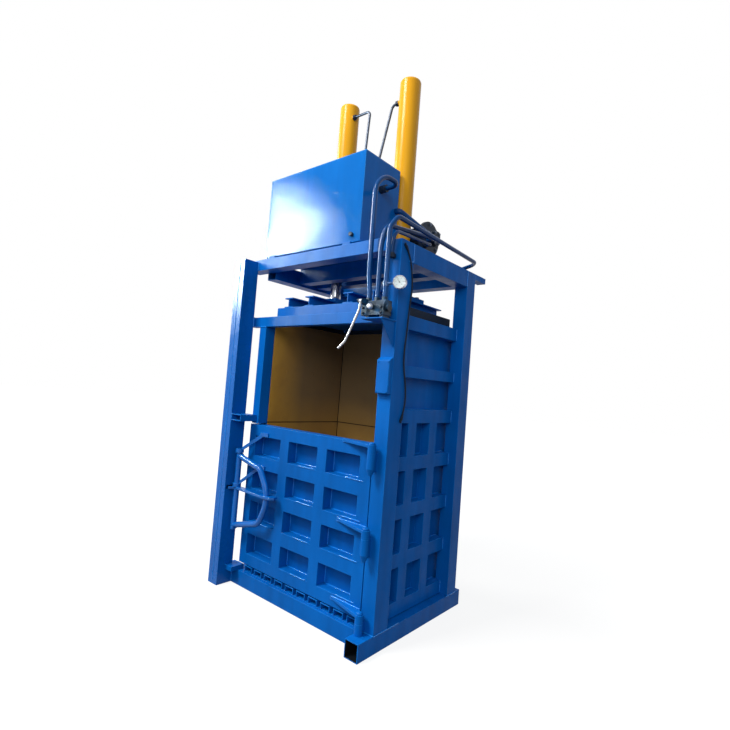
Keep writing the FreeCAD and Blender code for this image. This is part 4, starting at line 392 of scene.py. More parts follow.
def gloss_paint(name, deep, main, pale, edge, gloss=(0.30, 0.48), wave=0.0012, shine=0.05):
    """Sprayed enamel on steel: its tone drifts and runs, its edges are paler, partly from wear and
    partly as painted highlight, and it has waves of the sheet and orange peel under the gloss."""
    made, tree, shader, place = new_finish(name)
    drift = noise(tree, place, 1.7, 5.0)
    streak = noise(tree, stretched(tree, place, (9.0, 9.0, 1.2)), 1.6, 4.0)
    blend = tree.nodes.new("ShaderNodeMix")
    blend.inputs["Factor"].default_value = 0.45
    tree.links.new(drift, blend.inputs["A"])
    tree.links.new(streak, blend.inputs["B"])
    tone = graded(tree, blend.outputs["Result"], [(0.32, deep), (0.52, main), (0.72, pale)])
    soft = tree.nodes.new("ShaderNodeBevel")
    soft.samples = 6
    soft.inputs["Radius"].default_value = 0.004
    plain = tree.nodes.new("ShaderNodeNewGeometry")
    turned = tree.nodes.new("ShaderNodeVectorMath")
    turned.operation = "DOT_PRODUCT"
    tree.links.new(soft.outputs["Normal"], turned.inputs[0])
    tree.links.new(plain.outputs["Normal"], turned.inputs[1])
    # edge mask: the paler tone laid on the edges is partly paint wear and partly painted highlight
    at_edge = spread(tree, turned.outputs["Value"], low=0.9, high=0.0, start=0.86, end=0.99)
    patchy = spread(tree, noise(tree, place, 14.0, 4.0), low=0.25, high=1.0, start=0.35, end=0.6)
    edge_mix_wear_and_highlight = joined_by(tree, "MULTIPLY", at_edge, patchy)
    tree.links.new(covered(tree, tone, edge, edge_mix_wear_and_highlight), shader.inputs["Base Color"])
    tree.links.new(spread(tree, noise(tree, place, 9.0, 5.0), *gloss), shader.inputs["Roughness"])
    shader.inputs["Specular IOR Level"].default_value = shine
    sheet_waves = noise(tree, place, 3.2, 2.0)
    orange_peel = noise(tree, place, 420.0, 2.0)
    relief(tree, shader, [(sheet_waves, wave), (orange_peel, 0.00025)], rounding=0.0035)
    return made


def unsigned(tree, value):
    """A value without its sign."""
    bare_value = tree.nodes.new("ShaderNodeMath")
    bare_value.operation = "ABSOLUTE"
    tree.links.new(value, bare_value.inputs[0])
    return bare_value.outputs["Value"]


def within(tree, value, middle, half, soft):
    """1 where a coordinate lies within half of a middle, falling to 0 over the last soft part."""
    off = tree.nodes.new("ShaderNodeMath")
    off.operation = "SUBTRACT"
    off.inputs[1].default_value = middle
    tree.links.new(value, off.inputs[0])
    return spread(tree, unsigned(tree, off.outputs["Value"]), 1.0, 0.0, half - soft, half)


machine_blue = ((0.0009, 0.080, 0.32), (0.0012, 0.106, 0.42), (0.0020, 0.132, 0.51))
# the pale edge tone: partly paint wear, partly painted highlight of light catching the edges
pale_edge_wear_and_highlight = (0.010, 0.22, 0.72)
blue = gloss_paint("frame_paint", *machine_blue, pale_edge_wear_and_highlight)
dress(blue, "base_front_beam", "base_cross_beams", "post_front_right", "posts_rear",
      "front_stiles", "jamb", "top_side_beams", "top_front_beam", "top_rear_beam", "saddle_beams",
      "rear_stubs", "latch_ties", "header", "floor_deck", "floor_channels", "hinge_lugs",
      "cylinder_flanges", "tank_bearers", "motor_mount", "valve_shelf")

# the latch post took its paint smoother, so the sky shows in its front
post_blue = gloss_paint("post_paint", *machine_blue, pale_edge_wear_and_highlight, gloss=(0.20, 0.32), shine=0.16)
dress(post_blue, "latch_post")

# the rails are bare steel in the hollow, seen at the open front end of the right one, and their
# inner faces are painted near black as painted shade
RAIL_X = 0.569
RAIL_Z = 0.0475
HOLLOW_HALF_WIDE = 0.0405
HOLLOW_HALF_HIGH = 0.0430
rail_blue = gloss_paint("rail_paint", *machine_blue, pale_edge_wear_and_highlight)
tree = rail_blue.node_tree
shader = tree.nodes["Principled BSDF"]
apart = tree.nodes.new("ShaderNodeSeparateXYZ")
tree.links.new(tree.nodes.new("ShaderNodeTexCoord").outputs["Object"], apart.inputs["Vector"])
inside = joined_by(
    tree, "MINIMUM",
    within(tree, unsigned(tree, apart.outputs["X"]), RAIL_X, HOLLOW_HALF_WIDE, 0.0003),
    within(tree, apart.outputs["Z"], RAIL_Z, HOLLOW_HALF_HIGH, 0.0003))
painted = shader.inputs["Base Color"].links[0].from_socket
# near black over the inner faces: bare steel darkened as painted shade of the hollow
tree.links.new(covered(tree, painted, (0.006, 0.008, 0.011), inside), shader.inputs["Base Color"])
dress(rail_blue, "base_rails")


def bead(start, end, radius, seed):
    """A rippled weld run from one point to another: a rod with rings, every other one thinner."""
    start, end = Vector(start), Vector(end)
    length = (end - start).length
    rings = min(60, max(3, int(length / (radius * 1.5))))
    bpy.ops.object.select_all(action="DESELECT")
    bpy.ops.mesh.primitive_cylinder_add(vertices=8, radius=radius, depth=length)
    choose("EDGE", lambda a, b: abs(a.z - b.z) > length * 0.9)
    bpy.ops.mesh.subdivide(number_cuts=rings)
    step = length / (rings + 1)
    choose("VERT", lambda c: round((c.z + length / 2) / step) % 2 == 0)
    bpy.ops.transform.resize(value=(0.80, 0.80, 1.0), center_override=(0.0, 0.0, 0.0))
    bpy.ops.mesh.select_all(action="SELECT")
    bpy.ops.transform.vertex_random(offset=radius * 0.16, seed=seed)
    bpy.ops.object.mode_set(mode="OBJECT")
    piece = bpy.context.object
    seated(piece, (start + end) / 2, end - start)
    return piece


# painted highlight: the welds' paler, glossier blue stands in for sunlight on the ledges and rib
# ends
weld_blue_painted_highlight = gloss_paint("weld_paint_painted_highlight", (0.0020, 0.130, 0.50), (0.0040, 0.175, 0.60),
                        (0.0080, 0.225, 0.70), (0.03, 0.34, 0.86), gloss=(0.18, 0.32),
                        wave=0.0004, shine=0.28)


def weld_runs(name, runs, radius, body):
    """Weld runs of (start, end), joined into one painted piece."""
    in_one([bead(start, end, radius, number) for number, (start, end) in enumerate(runs)])
    return finished(name, weld_blue_painted_highlight, body, 60.0)


def upright(across, deep, low, high):
    """A vertical weld run."""
    return (across, deep, low), (across, deep, high)


def crosswise(left, right, deep, height):
    """A weld run from left to right."""
    return (left, deep, height), (right, deep, height)


POST_SIDE = 0.614
POST_INNER = 0.524
POST_FRONT = -0.420
TIE_FRONT = -0.437
POST_REAR = 0.432
HINGE_POST_REAR = -0.300
REAR_POST_FRONT = 0.327
RAIL_TOP = 0.095
TOP_BEAM_TOP = 2.198
frame_runs = []
for side in (-POST_SIDE, POST_SIDE):
    for foot in (HINGE_POST_REAR, REAR_POST_FRONT):
        frame_runs.append(((side, foot - 0.002, RAIL_TOP), (side, foot + 0.1, RAIL_TOP)))
frame_runs += [
    crosswise(0.526, 0.612, POST_FRONT, RAIL_TOP),
    ((POST_SIDE, -0.418, RAIL_TOP), (POST_SIDE, -0.302, RAIL_TOP)),
    crosswise(0.526, 0.612, POST_REAR, RAIL_TOP), crosswise(-0.612, -0.526, POST_REAR, RAIL_TOP),
    crosswise(-0.710, -0.616, TIE_FRONT, RAIL_TOP),
    upright(POST_INNER, TIE_FRONT, 0.004, 0.091), upright(-POST_SIDE, TIE_FRONT, 0.004, 0.091),
    upright(POST_INNER, POST_FRONT, 2.142, TOP_BEAM_TOP),
    upright(-POST_SIDE, TIE_FRONT, 2.142, TOP_BEAM_TOP),
    upright(-POST_SIDE, TIE_FRONT, 1.747, 1.809), upright(POST_INNER, POST_FRONT, 1.747, 1.809),
    upright(POST_SIDE, HINGE_POST_REAR, 2.092, TOP_BEAM_TOP),
    upright(POST_SIDE, REAR_POST_FRONT, 2.094, TOP_BEAM_TOP),
    upright(-POST_SIDE, REAR_POST_FRONT, 2.094, TOP_BEAM_TOP),
    ((0.616, -0.345, 2.092), (0.616, -0.302, 2.092)),
    crosswise(-0.554, -0.492, POST_FRONT, 1.745), crosswise(-0.554, -0.492, POST_FRONT, 1.086),
    ((-0.612, -0.470, 1.139), (-0.612, -0.440, 1.139)), crosswise(-0.664, -0.600, -0.494, 0.125)]
weld_runs("frame_welds", frame_runs, 0.0042, "frame")
SEAM_X, SEAM_Y = -0.663, -0.5515
weld_runs("post_seam", [upright(SEAM_X, SEAM_Y, 0.02, 0.75), upright(SEAM_X, SEAM_Y, 0.76, 1.46),
                        upright(SEAM_X, SEAM_Y, 1.47, 2.18)], 0.0022, "frame")

# ------------------------------------------------------------------------------ chamber walls
# Flat sheets stiffened by a grid of folded ribs, welded together and to the posts. The welds
# show as short rippled runs at the rib ends and in the corners of the fields.
dress(blue, "wall_right", "wall_left", "wall_rear")
RIB_BANDS = [(0.101, 0.181), (0.374, 0.454), (0.647, 0.727), (0.920, 1.000), (1.193, 1.273),
             (1.457, 1.522), (1.732, 1.812)]
RIB_FACE = 0.558
SIDE_SHEET = 0.500
REAR_SHEET = 0.376
WELD_SHORT = 0.004
wall_runs = []
for low, high in RIB_BANDS:
    for across, deep in ((RIB_FACE, REAR_POST_FRONT), (RIB_FACE, HINGE_POST_REAR),
                         (-RIB_FACE, REAR_POST_FRONT)):
        wall_runs.append(upright(across, deep, low + WELD_SHORT, high - WELD_SHORT))
field_floors = [high for low, high in RIB_BANDS[:4]]
for height in field_floors:
    for front, rear in ((-0.298, -0.156), (-0.070, 0.072), (0.158, 0.325)):
        wall_runs.append(((SIDE_SHEET, front, height), (SIDE_SHEET, rear, height)))
for left, right in ((-0.491, -0.223), (-0.137, 0.137), (0.223, 0.491)):
    for height in field_floors:
        wall_runs.append(crosswise(left, right, REAR_SHEET, height))
weld_runs("wall_welds", wall_runs, 0.0045, "frame")

# ------------------------------------------------------------------------------ chamber liners
# Thin steel sheets plug welded inside the chamber, with a joint a little over the door and open
# joints in the corners. Their ochre paint is rubbed dull by the bales and spotted with rust, and
# painted shade darkens it brown towards the rear and the top.
ochre, tree, shader, place = new_finish("liner_paint")
rub = noise(tree, stretched(tree, place, (1.0, 1.0, 0.45)), 2.6, 5.0)
rust = noise(tree, place, 11.0, 6.0)
ground = graded(tree, rub, [(0.30, (0.500, 0.250, 0.034)), (0.5, (0.610, 0.320, 0.040)),
                            (0.72, (0.680, 0.370, 0.046))])
stained_and_shaded = covered(tree, ground, (0.24, 0.110, 0.026), spread(tree, rust, 0.0, 0.22, 0.52, 0.72))
apart = tree.nodes.new("ShaderNodeSeparateXYZ")
tree.links.new(place, apart.inputs["Vector"])
# painted shade: brown laid over the liners towards the rear wall and the top, where the chamber
# lies in shade
shade_towards_rear = spread(tree, apart.outputs["Y"], low=0.0, high=0.88, start=-0.40, end=-0.04)
shade_towards_top = spread(tree, apart.outputs["Z"], low=0.62, high=1.0, start=1.02, end=1.30)
painted_shade_inwards = joined_by(tree, "MULTIPLY", shade_towards_rear, shade_towards_top)
stained_and_shaded = covered(tree, stained_and_shaded, (0.145, 0.104, 0.064), painted_shade_inwards)
SIDE_LINER = (0.4845, 0.4875)
REAR_LINER = (0.3605, 0.3635)
LINER_JOINT = 1.092
by_side = spread(tree, unsigned(tree, apart.outputs["X"]), 0.0, 1.0, *SIDE_LINER)
by_rear = spread(tree, apart.outputs["Y"], 0.0, 1.0, *REAR_LINER)
corner = joined_by(tree, "MINIMUM", by_side, by_rear)
over_door = within(tree, apart.outputs["Z"], LINER_JOINT, 0.0045, 0.0022)
joints = joined_by(tree, "MAXIMUM", over_door, corner)
tree.links.new(covered(tree, stained_and_shaded, (0.012, 0.008, 0.004), joints), shader.inputs["Base Color"])
tree.links.new(spread(tree, rub, 0.42, 0.62), shader.inputs["Roughness"])
shader.inputs["Specular IOR Level"].default_value = 0.25
dents = noise(tree, place, 2.2, 2.0)
scratches = noise(tree, place, 160.0, 3.0)
relief(tree, shader, [(dents, 0.004), (scratches, 0.0003)])
dress(ochre, "chamber_liners")

# plug welds that hold the liners, ground to low domes
PLUG_SIDE_X = 0.490
PLUG_REAR_Y = 0.366
bpy.ops.object.select_all(action="DESELECT")
bpy.ops.mesh.primitive_cylinder_add(vertices=16, radius=0.0095, depth=0.003,
                                    location=(0.0, 0.0, 0.0005))
bpy.ops.object.transform_apply(location=True)
choose("FACE", lambda c, n: n.z > 0.9)
bpy.ops.mesh.inset(thickness=0.0035, depth=0.0012)
bpy.ops.mesh.inset(thickness=0.003, depth=0.0005)
plug_seats = []
for height in (0.45, 0.95, 1.45):
    for across in (-0.24, 0.0, 0.24):
        plug_seats.append(((across, PLUG_REAR_Y, height), (0, -1, 0)))
    for deep in (-0.2, 0.05, 0.28):
        plug_seats.append(((-PLUG_SIDE_X, deep, height), (1, 0, 0)))
        plug_seats.append(((PLUG_SIDE_X, deep, height), (-1, 0, 0)))
bpy.ops.object.mode_set(mode="OBJECT")
copied(bpy.context.object, plug_seats)
finished("liner_plugs", ochre, "frame", 30.0)

# ------------------------------------------------------------------------------ door
# A sheet with a grid of folded ribs and three tapered hinge arms, that swings on pins in the
# lugs of the hinge post. Weld runs lie in the fields' lower corners and along the arms.
dress(blue, "door_sheet", "door_ribs", "hinge_arms")
FIELD_WIDE = 0.26
FIELD_PITCH_X = 0.338
FIELD_PITCH_Z = 0.2175
DOOR_SHEET_FACE = -0.3505
DOOR_RIB_FACE = -0.4195
DOOR_ARM_FACE = -0.4205
door_runs = []
for column in range(3):
    left = -0.500 + FIELD_PITCH_X * column
    for row in range(4):
        low = 0.216 + FIELD_PITCH_Z * row
        door_runs.append(crosswise(left + 0.004, left + 0.256, DOOR_SHEET_FACE, low))
        for side in (left, left + FIELD_WIDE):
            door_runs.append(upright(side, DOOR_SHEET_FACE, low + 0.004, low + 0.13))
        # short runs on the ribs' front edges, whose pale paint is painted highlight of the sunlit
        # ledges
        if row == 1 or column > 0:
            split = left + 0.06 + 0.05 * ((row * 3 + column) % 3)
            door_runs.append(((split, DOOR_RIB_FACE, low),
                              (split + 0.13, DOOR_RIB_FACE, low - 0.0006)))
for height in (0.200, 0.633, 1.076, 0.184, 0.617, 1.064):
    door_runs.append(crosswise(0.300, 0.512, DOOR_ARM_FACE, height))
weld_runs("door_welds", door_runs, 0.0045, "door")

# ------------------------------------------------------------------------------ lock
# A bent tube handle with a welded web, on a shaft that turns in two bearings on sloped plates
# of the door. The shaft's tongue enters a slot in the tall post.
# the handle's pale edge tone is partly paint wear and partly painted highlight
hand_blue = gloss_paint("handle_paint", *machine_blue, (0.03, 0.30, 0.80), gloss=(0.14, 0.26),
                        wave=0.0006, shine=0.24)
dress(hand_blue, "lock_shaft", "lock_handle", "lock_bearings")
HANDLE_FOOT_X = -0.556
SHAFT_Y = -0.484
collars = []
for height in (0.396, 0.858):
    bpy.ops.object.select_all(action="DESELECT")
    bpy.ops.mesh.primitive_torus_add(major_radius=0.0195, minor_radius=0.0032, major_segments=28,
                                     minor_segments=8)
    bpy.ops.object.mode_set(mode="EDIT")
    bpy.ops.mesh.select_all(action="SELECT")
    bpy.ops.transform.vertex_random(offset=0.0006, seed=7)
    bpy.ops.object.mode_set(mode="OBJECT")
    seated(bpy.context.object, (HANDLE_FOOT_X, SHAFT_Y, height), (1, 0, 0))
    collars.append(bpy.context.object)
in_one(collars)
finished("handle_welds", hand_blue, "lock", 60.0)

# ------------------------------------------------------------------------------ press
# A tray platen under steel joists and two foot plates, bolted to the chromed rods of the
# cylinders. Rubber strips along its edges wipe the liners.


def hex_bolt(size):
    """A hexagon head on a washer, seated at the origin and facing up. The size is its radius."""
    bpy.ops.object.select_all(action="DESELECT")
    bpy.ops.mesh.primitive_cylinder_add(vertices=6, radius=size, depth=size * 0.8,
                                        location=(0.0, 0.0, size * 0.55))
    bpy.ops.object.transform_apply(location=True)
    choose("FACE", lambda c, n: n.z > 0.9)
    bpy.ops.mesh.inset(thickness=size * 0.16, depth=size * 0.10)
    choose("FACE", lambda c, n: n.z < -0.9)
    bpy.ops.mesh.inset(thickness=size * -0.32, depth=0.0)
    bpy.ops.object.mode_set(mode="OBJECT")
    head = bpy.context.object
    bpy.ops.object.select_all(action="DESELECT")
    bpy.ops.mesh.primitive_cylinder_add(vertices=20, radius=size * 1.35, depth=size * 0.2,
                                        location=(0.0, 0.0, size * 0.09))
    bpy.ops.object.transform_apply(location=True)
    choose("FACE", lambda c, n: n.z > 0.9)
    bpy.ops.mesh.inset(thickness=size * 0.1, depth=size * 0.03)
    bpy.ops.object.mode_set(mode="OBJECT")
    return in_one([bpy.context.object, head])


def corners(middle, half, facing):
    """Four seats round a middle, at half of a rectangle's two sides, that all face one way."""
    first, second = [axis for axis in range(3) if half[axis]]
    seats = []
    for one in (-1, 1):
        for other in (-1, 1):
            point = list(middle)
            point[first] += one * half[first]
            point[second] += other * half[second]
            seats.append((point, facing))
    return seats


dress(blue, "platen_tray", "platen_joists", "rod_feet")
zinc = mottled("bolt_zinc", 120.0, 4.0, [(0.3, (0.05, 0.07, 0.11)), (0.7, (0.14, 0.17, 0.23))],
               gloss=(0.3, 0.55), pits=(700.0, 3.0, 0.0002), metal=0.8)


def bolts(name, size, seats, body, finish=zinc):
    """Bolts of one size on their seats, as one piece."""
    copied(hex_bolt(size), seats)
    return finished(name, finish, body, 30.0)


UP = (0, 0, 1)
ROD_X = 0.2715
ROD_Y = 0.005
FOOT_TOP = 1.977
bolts("foot_bolts", 0.0155,
      corners((-ROD_X, ROD_Y, FOOT_TOP), (0.1, 0.1, 0.0), UP)
      + corners((ROD_X, ROD_Y, FOOT_TOP), (0.1, 0.1, 0.0), UP), "press")

# the wipers, which also close the gap round the platen
WIPER_Z = 1.8400
WIPER_DEEP = 0.085
WIPER_THICK = 0.006
side_wiper = (WIPER_THICK, 0.690, WIPER_DEEP)
wipers = []
for middle, size in (((0.0, 0.3590, WIPER_Z), (0.955, WIPER_THICK, WIPER_DEEP)),
                     ((-0.4830, 0.008, WIPER_Z), side_wiper),
                     ((0.4830, 0.008, WIPER_Z), side_wiper)):
    bpy.ops.object.select_all(action="DESELECT")
    bpy.ops.mesh.primitive_cube_add(size=1.0, location=middle, scale=size)
    bpy.ops.object.transform_apply(location=True, scale=True)
    choose("FACE", lambda c, n: n.z < -0.9)
    bpy.ops.mesh.extrude_region_move(TRANSFORM_OT_translate={"value": (0.0, 0.0, -0.004)})
    bpy.ops.transform.resize(value=(0.7, 1.0, 1.0) if size is side_wiper else (1.0, 0.7, 1.0))
    bpy.ops.object.mode_set(mode="OBJECT")
    wipers.append(bpy.context.object)
in_one(wipers)
finished("platen_wipers", rubber, "press", 30.0)

chrome, tree, shader, place = new_finish("rod_chrome")
shader.inputs["Metallic"].default_value = 1.0
haze = noise(tree, stretched(tree, place, (1.0, 1.0, 12.0)), 14.0)
tree.links.new(graded(tree, haze, [(0.3, (0.34, 0.36, 0.40)), (0.7, (0.50, 0.52, 0.56))]),
               shader.inputs["Base Color"])
tree.links.new(spread(tree, noise(tree, place, 30.0), 0.10, 0.24), shader.inputs["Roughness"])
honed = noise(tree, stretched(tree, place, (1.0, 1.0, 30.0)), 30.0)
relief(tree, shader, [(honed, 0.0001)])
dress(chrome, "piston_rods")

# ------------------------------------------------------------------------------ cylinders
# Honed steel tubes with a welded cap and port boss, sprayed chrome yellow, on flanges bolted to
# the saddle beams.
# the paler edge tone is partly paint wear and partly painted highlight
yellow = gloss_paint("cylinder_paint", (0.62, 0.280, 0.008), (0.70, 0.330, 0.010),
                     (0.76, 0.375, 0.013), (0.82, 0.50, 0.03), gloss=(0.16, 0.26), wave=0.0004,
                     shine=0.14)
dress(yellow, "cylinder_left", "cylinder_right")
FLANGE_TOP = 2.240
bolts("flange_bolts", 0.0150,
      corners((-ROD_X, ROD_Y, FLANGE_TOP), (0.098, 0.058, 0.0), UP)
      + corners((ROD_X, ROD_Y, FLANGE_TOP), (0.098, 0.058, 0.0), UP), "frame")

# ------------------------------------------------------------------------------ oil tank
# A box of folded sheet on two bars, in the same blue but smoother and a little buckled, so the
# sky shows in it as a wavy white patch. Its lid is bolted down.
# the tank's pale edge tone is partly paint wear and partly painted highlight
tank_blue = gloss_paint("tank_paint", (0.0010, 0.098, 0.36), (0.0014, 0.120, 0.44),
                        (0.0022, 0.145, 0.52), (0.05, 0.36, 0.86), gloss=(0.06, 0.10),
                        wave=0.0050, shine=0.07)
dress(tank_blue, "tank", "tank_lid")
LID_TOP = 2.778
LID_LEFT, LID_RIGHT = -0.544, 0.284
lid_seats = []
for step in range(6):
    across = LID_LEFT + 0.1656 * step
    lid_seats += [((across, -0.398, LID_TOP), UP), ((across, -0.102, LID_TOP), UP)]
for deep in (-0.30, -0.20):
    lid_seats += [((LID_LEFT, deep, LID_TOP), UP), ((LID_RIGHT, deep, LID_TOP), UP)]
bolts("lid_bolts", 0.0072, lid_seats, "frame")
BAR_TOP = 2.232
weld_runs("tank_welds", [crosswise(-0.502, -0.446, -0.4205, 2.2305),
                         crosswise(0.186, 0.242, -0.4205, 2.2305),
                         ((0.3045, -0.415, BAR_TOP), (0.3045, -0.085, BAR_TOP)),
                         ((-0.5645, -0.415, BAR_TOP), (-0.5645, -0.085, BAR_TOP))], 0.0035, "frame")

# ------------------------------------------------------------------------------ motor and pump
# A finned cast motor in dark paint with a slotted fan cowl, and a black gear pump on its drive end.
# The lid of the terminal box, the end shield at the drive end and the fan cowl are held by screws.
cast = mottled("motor_cast", 25.0, 5.0,
               [(0.3, (0.006, 0.012, 0.024)), (0.7, (0.020, 0.034, 0.062))],
               gloss=(0.30, 0.5), pits=(350.0, 4.0, 0.0008), shine=0.12, rounding=0.002)
dress(cast, "motor_body", "fan_cowl")
moulded = mottled("fan_plastic", 80.0, 3.0,
                  [(0.3, (0.012, 0.012, 0.013)), (0.7, (0.03, 0.03, 0.032))],
                  gloss=(0.4, 0.6), pits=(500.0, 3.0, 0.0003))
dress(moulded, "motor_fan")
fitting = mottled("black_fitting", 35.0, 4.0,
                  [(0.3, (0.004, 0.010, 0.022)), (0.7, (0.016, 0.030, 0.058))],
                  gloss=(0.22, 0.45), pits=(300.0, 3.0, 0.0004), shine=0.14, rounding=0.0012)
dress(fitting, "pump", "pipe_fittings")

MOTOR_Y = 0.170
MOTOR_Z = 2.395
SHIELD_X, SHIELD_RING = 0.396, 0.100
COWL_X, COWL_RADIUS = 0.146, 0.0918
shield_seats = []
for step in range(6):
    angle = math.radians(30 + 60 * step)
    shield_seats.append(((SHIELD_X, MOTOR_Y + SHIELD_RING * math.cos(angle),
                          MOTOR_Z + SHIELD_RING * math.sin(angle)), (1, 0, 0)))
bolts("shield_bolts", 0.0085, shield_seats, "frame")
cowl_seats = []
for step in range(4):
    angle = math.radians(45 + 90 * step)
    out = (0.0, math.cos(angle), math.sin(angle))
    cowl_seats.append(((COWL_X, MOTOR_Y + COWL_RADIUS * out[1],
                        MOTOR_Z + COWL_RADIUS * out[2]), out))
bolts("cowl_screws", 0.0050, cowl_seats, "frame")

TERMINAL_X = 0.268
bpy.ops.object.select_all(action="DESELECT")
bpy.ops.mesh.primitive_cube_add(size=1.0, location=(TERMINAL_X, 0.3075, MOTOR_Z),
                                scale=(0.086, 0.005, 0.086))
bpy.ops.object.transform_apply(location=True, scale=True)
choose("FACE", lambda c, n: n.y > 0.9)
bpy.ops.mesh.inset(thickness=0.006, depth=0.002)
bpy.ops.mesh.inset(thickness=0.010, depth=-0.001)
bpy.ops.object.mode_set(mode="OBJECT")
finished("terminal_lid", cast, "frame", 20.0)
bolts("terminal_screws", 0.0045,
      corners((TERMINAL_X, 0.3095, MOTOR_Z), (0.036, 0.0, 0.036), (0, 1, 0)), "frame")
bolts("pump_bolts", 0.0070,
      corners((0.455, MOTOR_Y, MOTOR_Z), (0.0, 0.024, 0.031), (1, 0, 0)), "frame")

# ------------------------------------------------------------------------------ painted pipes
# Bent hydraulic tube with nuts at both ends, in the frame's blue and oily, so the light runs along
# them in thin lines. Their blue is made darker than the frame's as painted shade.
pipe_blue_painted_shade = gloss_paint("pipe_paint", (0.0012, 0.034, 0.130), (0.0016, 0.050, 0.185),
                        (0.0022, 0.072, 0.26), (0.006, 0.12, 0.40), gloss=(0.16, 0.28),
                        wave=0.0003, shine=0.14)
dress(pipe_blue_painted_shade, "pipe_tank_return", "pipe_pump", "pipe_rod_side", "pump_line", "suction_pipe")

# ------------------------------------------------------------------------------ cylinder lines
# Bent steel tube from the tee behind the tank to a fitting near the head of each cylinder,
# where a black union is screwed on the port boss.
line_steel = mottled("line_steel", 18.0, 4.0,
                     [(0.3, (0.020, 0.034, 0.062)), (0.7, (0.065, 0.090, 0.140))],
                     gloss=(0.25, 0.45), pits=(260.0, 3.0, 0.0003), metal=0.3)
dress(line_steel, "cap_lines")
BOSS_REACH = 0.0785
unions = []
for port, out in (((-ROD_X + BOSS_REACH, -0.020, 3.325), (1, 0, 0)),
                  ((ROD_X - BOSS_REACH, -0.020, 3.298), (-1, 0, 0))):
    bpy.ops.object.select_all(action="DESELECT")
    bpy.ops.mesh.primitive_cylinder_add(vertices=6, radius=0.0190, depth=0.020)
    choose("FACE", lambda c, n: abs(n.z) > 0.9)
    bpy.ops.mesh.inset(thickness=0.0030, depth=0.0022)
    bpy.ops.object.mode_set(mode="OBJECT")
    seated(bpy.context.object, port, out)
    unions.append(bpy.context.object)
in_one(unions)
finished("line_unions", fitting, "frame", 30.0)

# ------------------------------------------------------------------------------ control valve
# A cast spool valve on the shelf of the hinge post, held by socket screws. Its dark paint is
# darker with oil, and a bright domed cap nut closes its relief port.
valve_paint = mottled("valve_cast", 22.0, 5.0,
                      [(0.30, (0.003, 0.010, 0.018)), (0.52, (0.005, 0.026, 0.058)),
                       (0.72, (0.006, 0.066, 0.160))],
                      gloss=(0.22, 0.45), pits=(300.0, 4.0, 0.0006), shine=0.25, rounding=0.003)
dress(valve_paint, "valve_body")
VALVE_X = 0.515
OUTWARD = (0, -1, 0)
bolts("valve_screws", 0.0062,
      corners((VALVE_X, -0.514, 1.795), (0.062, 0.0, 0.015), OUTWARD), "frame",
      fitting)

bright_steel = mottled("bare_steel", 40.0, 4.0,
                       [(0.3, (0.55, 0.57, 0.60)), (0.7, (0.86, 0.88, 0.91))],
                       gloss=(0.22, 0.42), pits=(400.0, 3.0, 0.0002), metal=0.75,
                       pull=(1.0, 1.0, 6.0))
bpy.ops.object.select_all(action="DESELECT")
bpy.ops.mesh.primitive_uv_sphere_add(segments=24, ring_count=12, radius=0.0138)
choose("VERT", lambda c: c.z < -0.001)
bpy.ops.mesh.delete(type="VERT")
choose("EDGE", lambda a, b: abs(a.z) < 0.001 and abs(b.z) < 0.001)
bpy.ops.mesh.extrude_region_move(TRANSFORM_OT_translate={"value": (0.0, 0.0, -0.008)})
bpy.ops.transform.resize(value=(1.14, 1.14, 1.0), center_override=(0.0, 0.0, 0.0))
bpy.ops.mesh.extrude_region_move(TRANSFORM_OT_translate={"value": (0.0, 0.0, -0.004)})
bpy.ops.mesh.edge_face_add()
bpy.ops.object.mode_set(mode="OBJECT")
seated(bpy.context.object, (VALVE_X, -0.5365, 1.812), OUTWARD)
finished("cap_nut", bright_steel, "frame", 40.0)

# ------------------------------------------------------------------------------ valve lever
# A bright steel rod, bent forward, in a hub that turns on a pin in the ears of the valve. The
# steel is drawn, with fine marks along it.
lever_steel, tree, shader, place = new_finish("lever_steel")
drawn = noise(tree, stretched(tree, place, (1.0, 1.0, 8.0)), 60.0, 3.0)
shader.inputs["Metallic"].default_value = 0.85
tree.links.new(graded(tree, drawn, [(0.3, (0.26, 0.26, 0.27)), (0.7, (0.46, 0.45, 0.45))]),
               shader.inputs["Base Color"])
tree.links.new(spread(tree, drawn, 0.26, 0.40), shader.inputs["Roughness"])
relief(tree, shader, [(drawn, 0.0002)])
dress(lever_steel, "valve_lever")

# ------------------------------------------------------------------------------ pressure gauge
# A round gauge in a bright steel case, with a dial behind glass and a black needle. The dial's
# white is toned down to pale grey as painted shade. The dial has a scale of 25 parts with numbers.
# Its stem is painted with the pipe's blue, darkened as painted shade.
CASE_EDGE = (0.6235, 0.6245)
bezel_steel, tree, shader, place = new_finish("gauge_metal")
polish = noise(tree, place, 90.0, 3.0)
sides = tree.nodes.new("ShaderNodeSeparateXYZ")
tree.links.new(place, sides.inputs["Vector"])
on_stem = spread(tree, sides.outputs["X"], 1.0, 0.0, *CASE_EDGE)
steel_tone = graded(tree, polish, [(0.3, (0.42, 0.44, 0.47)), (0.7, (0.66, 0.68, 0.71))])
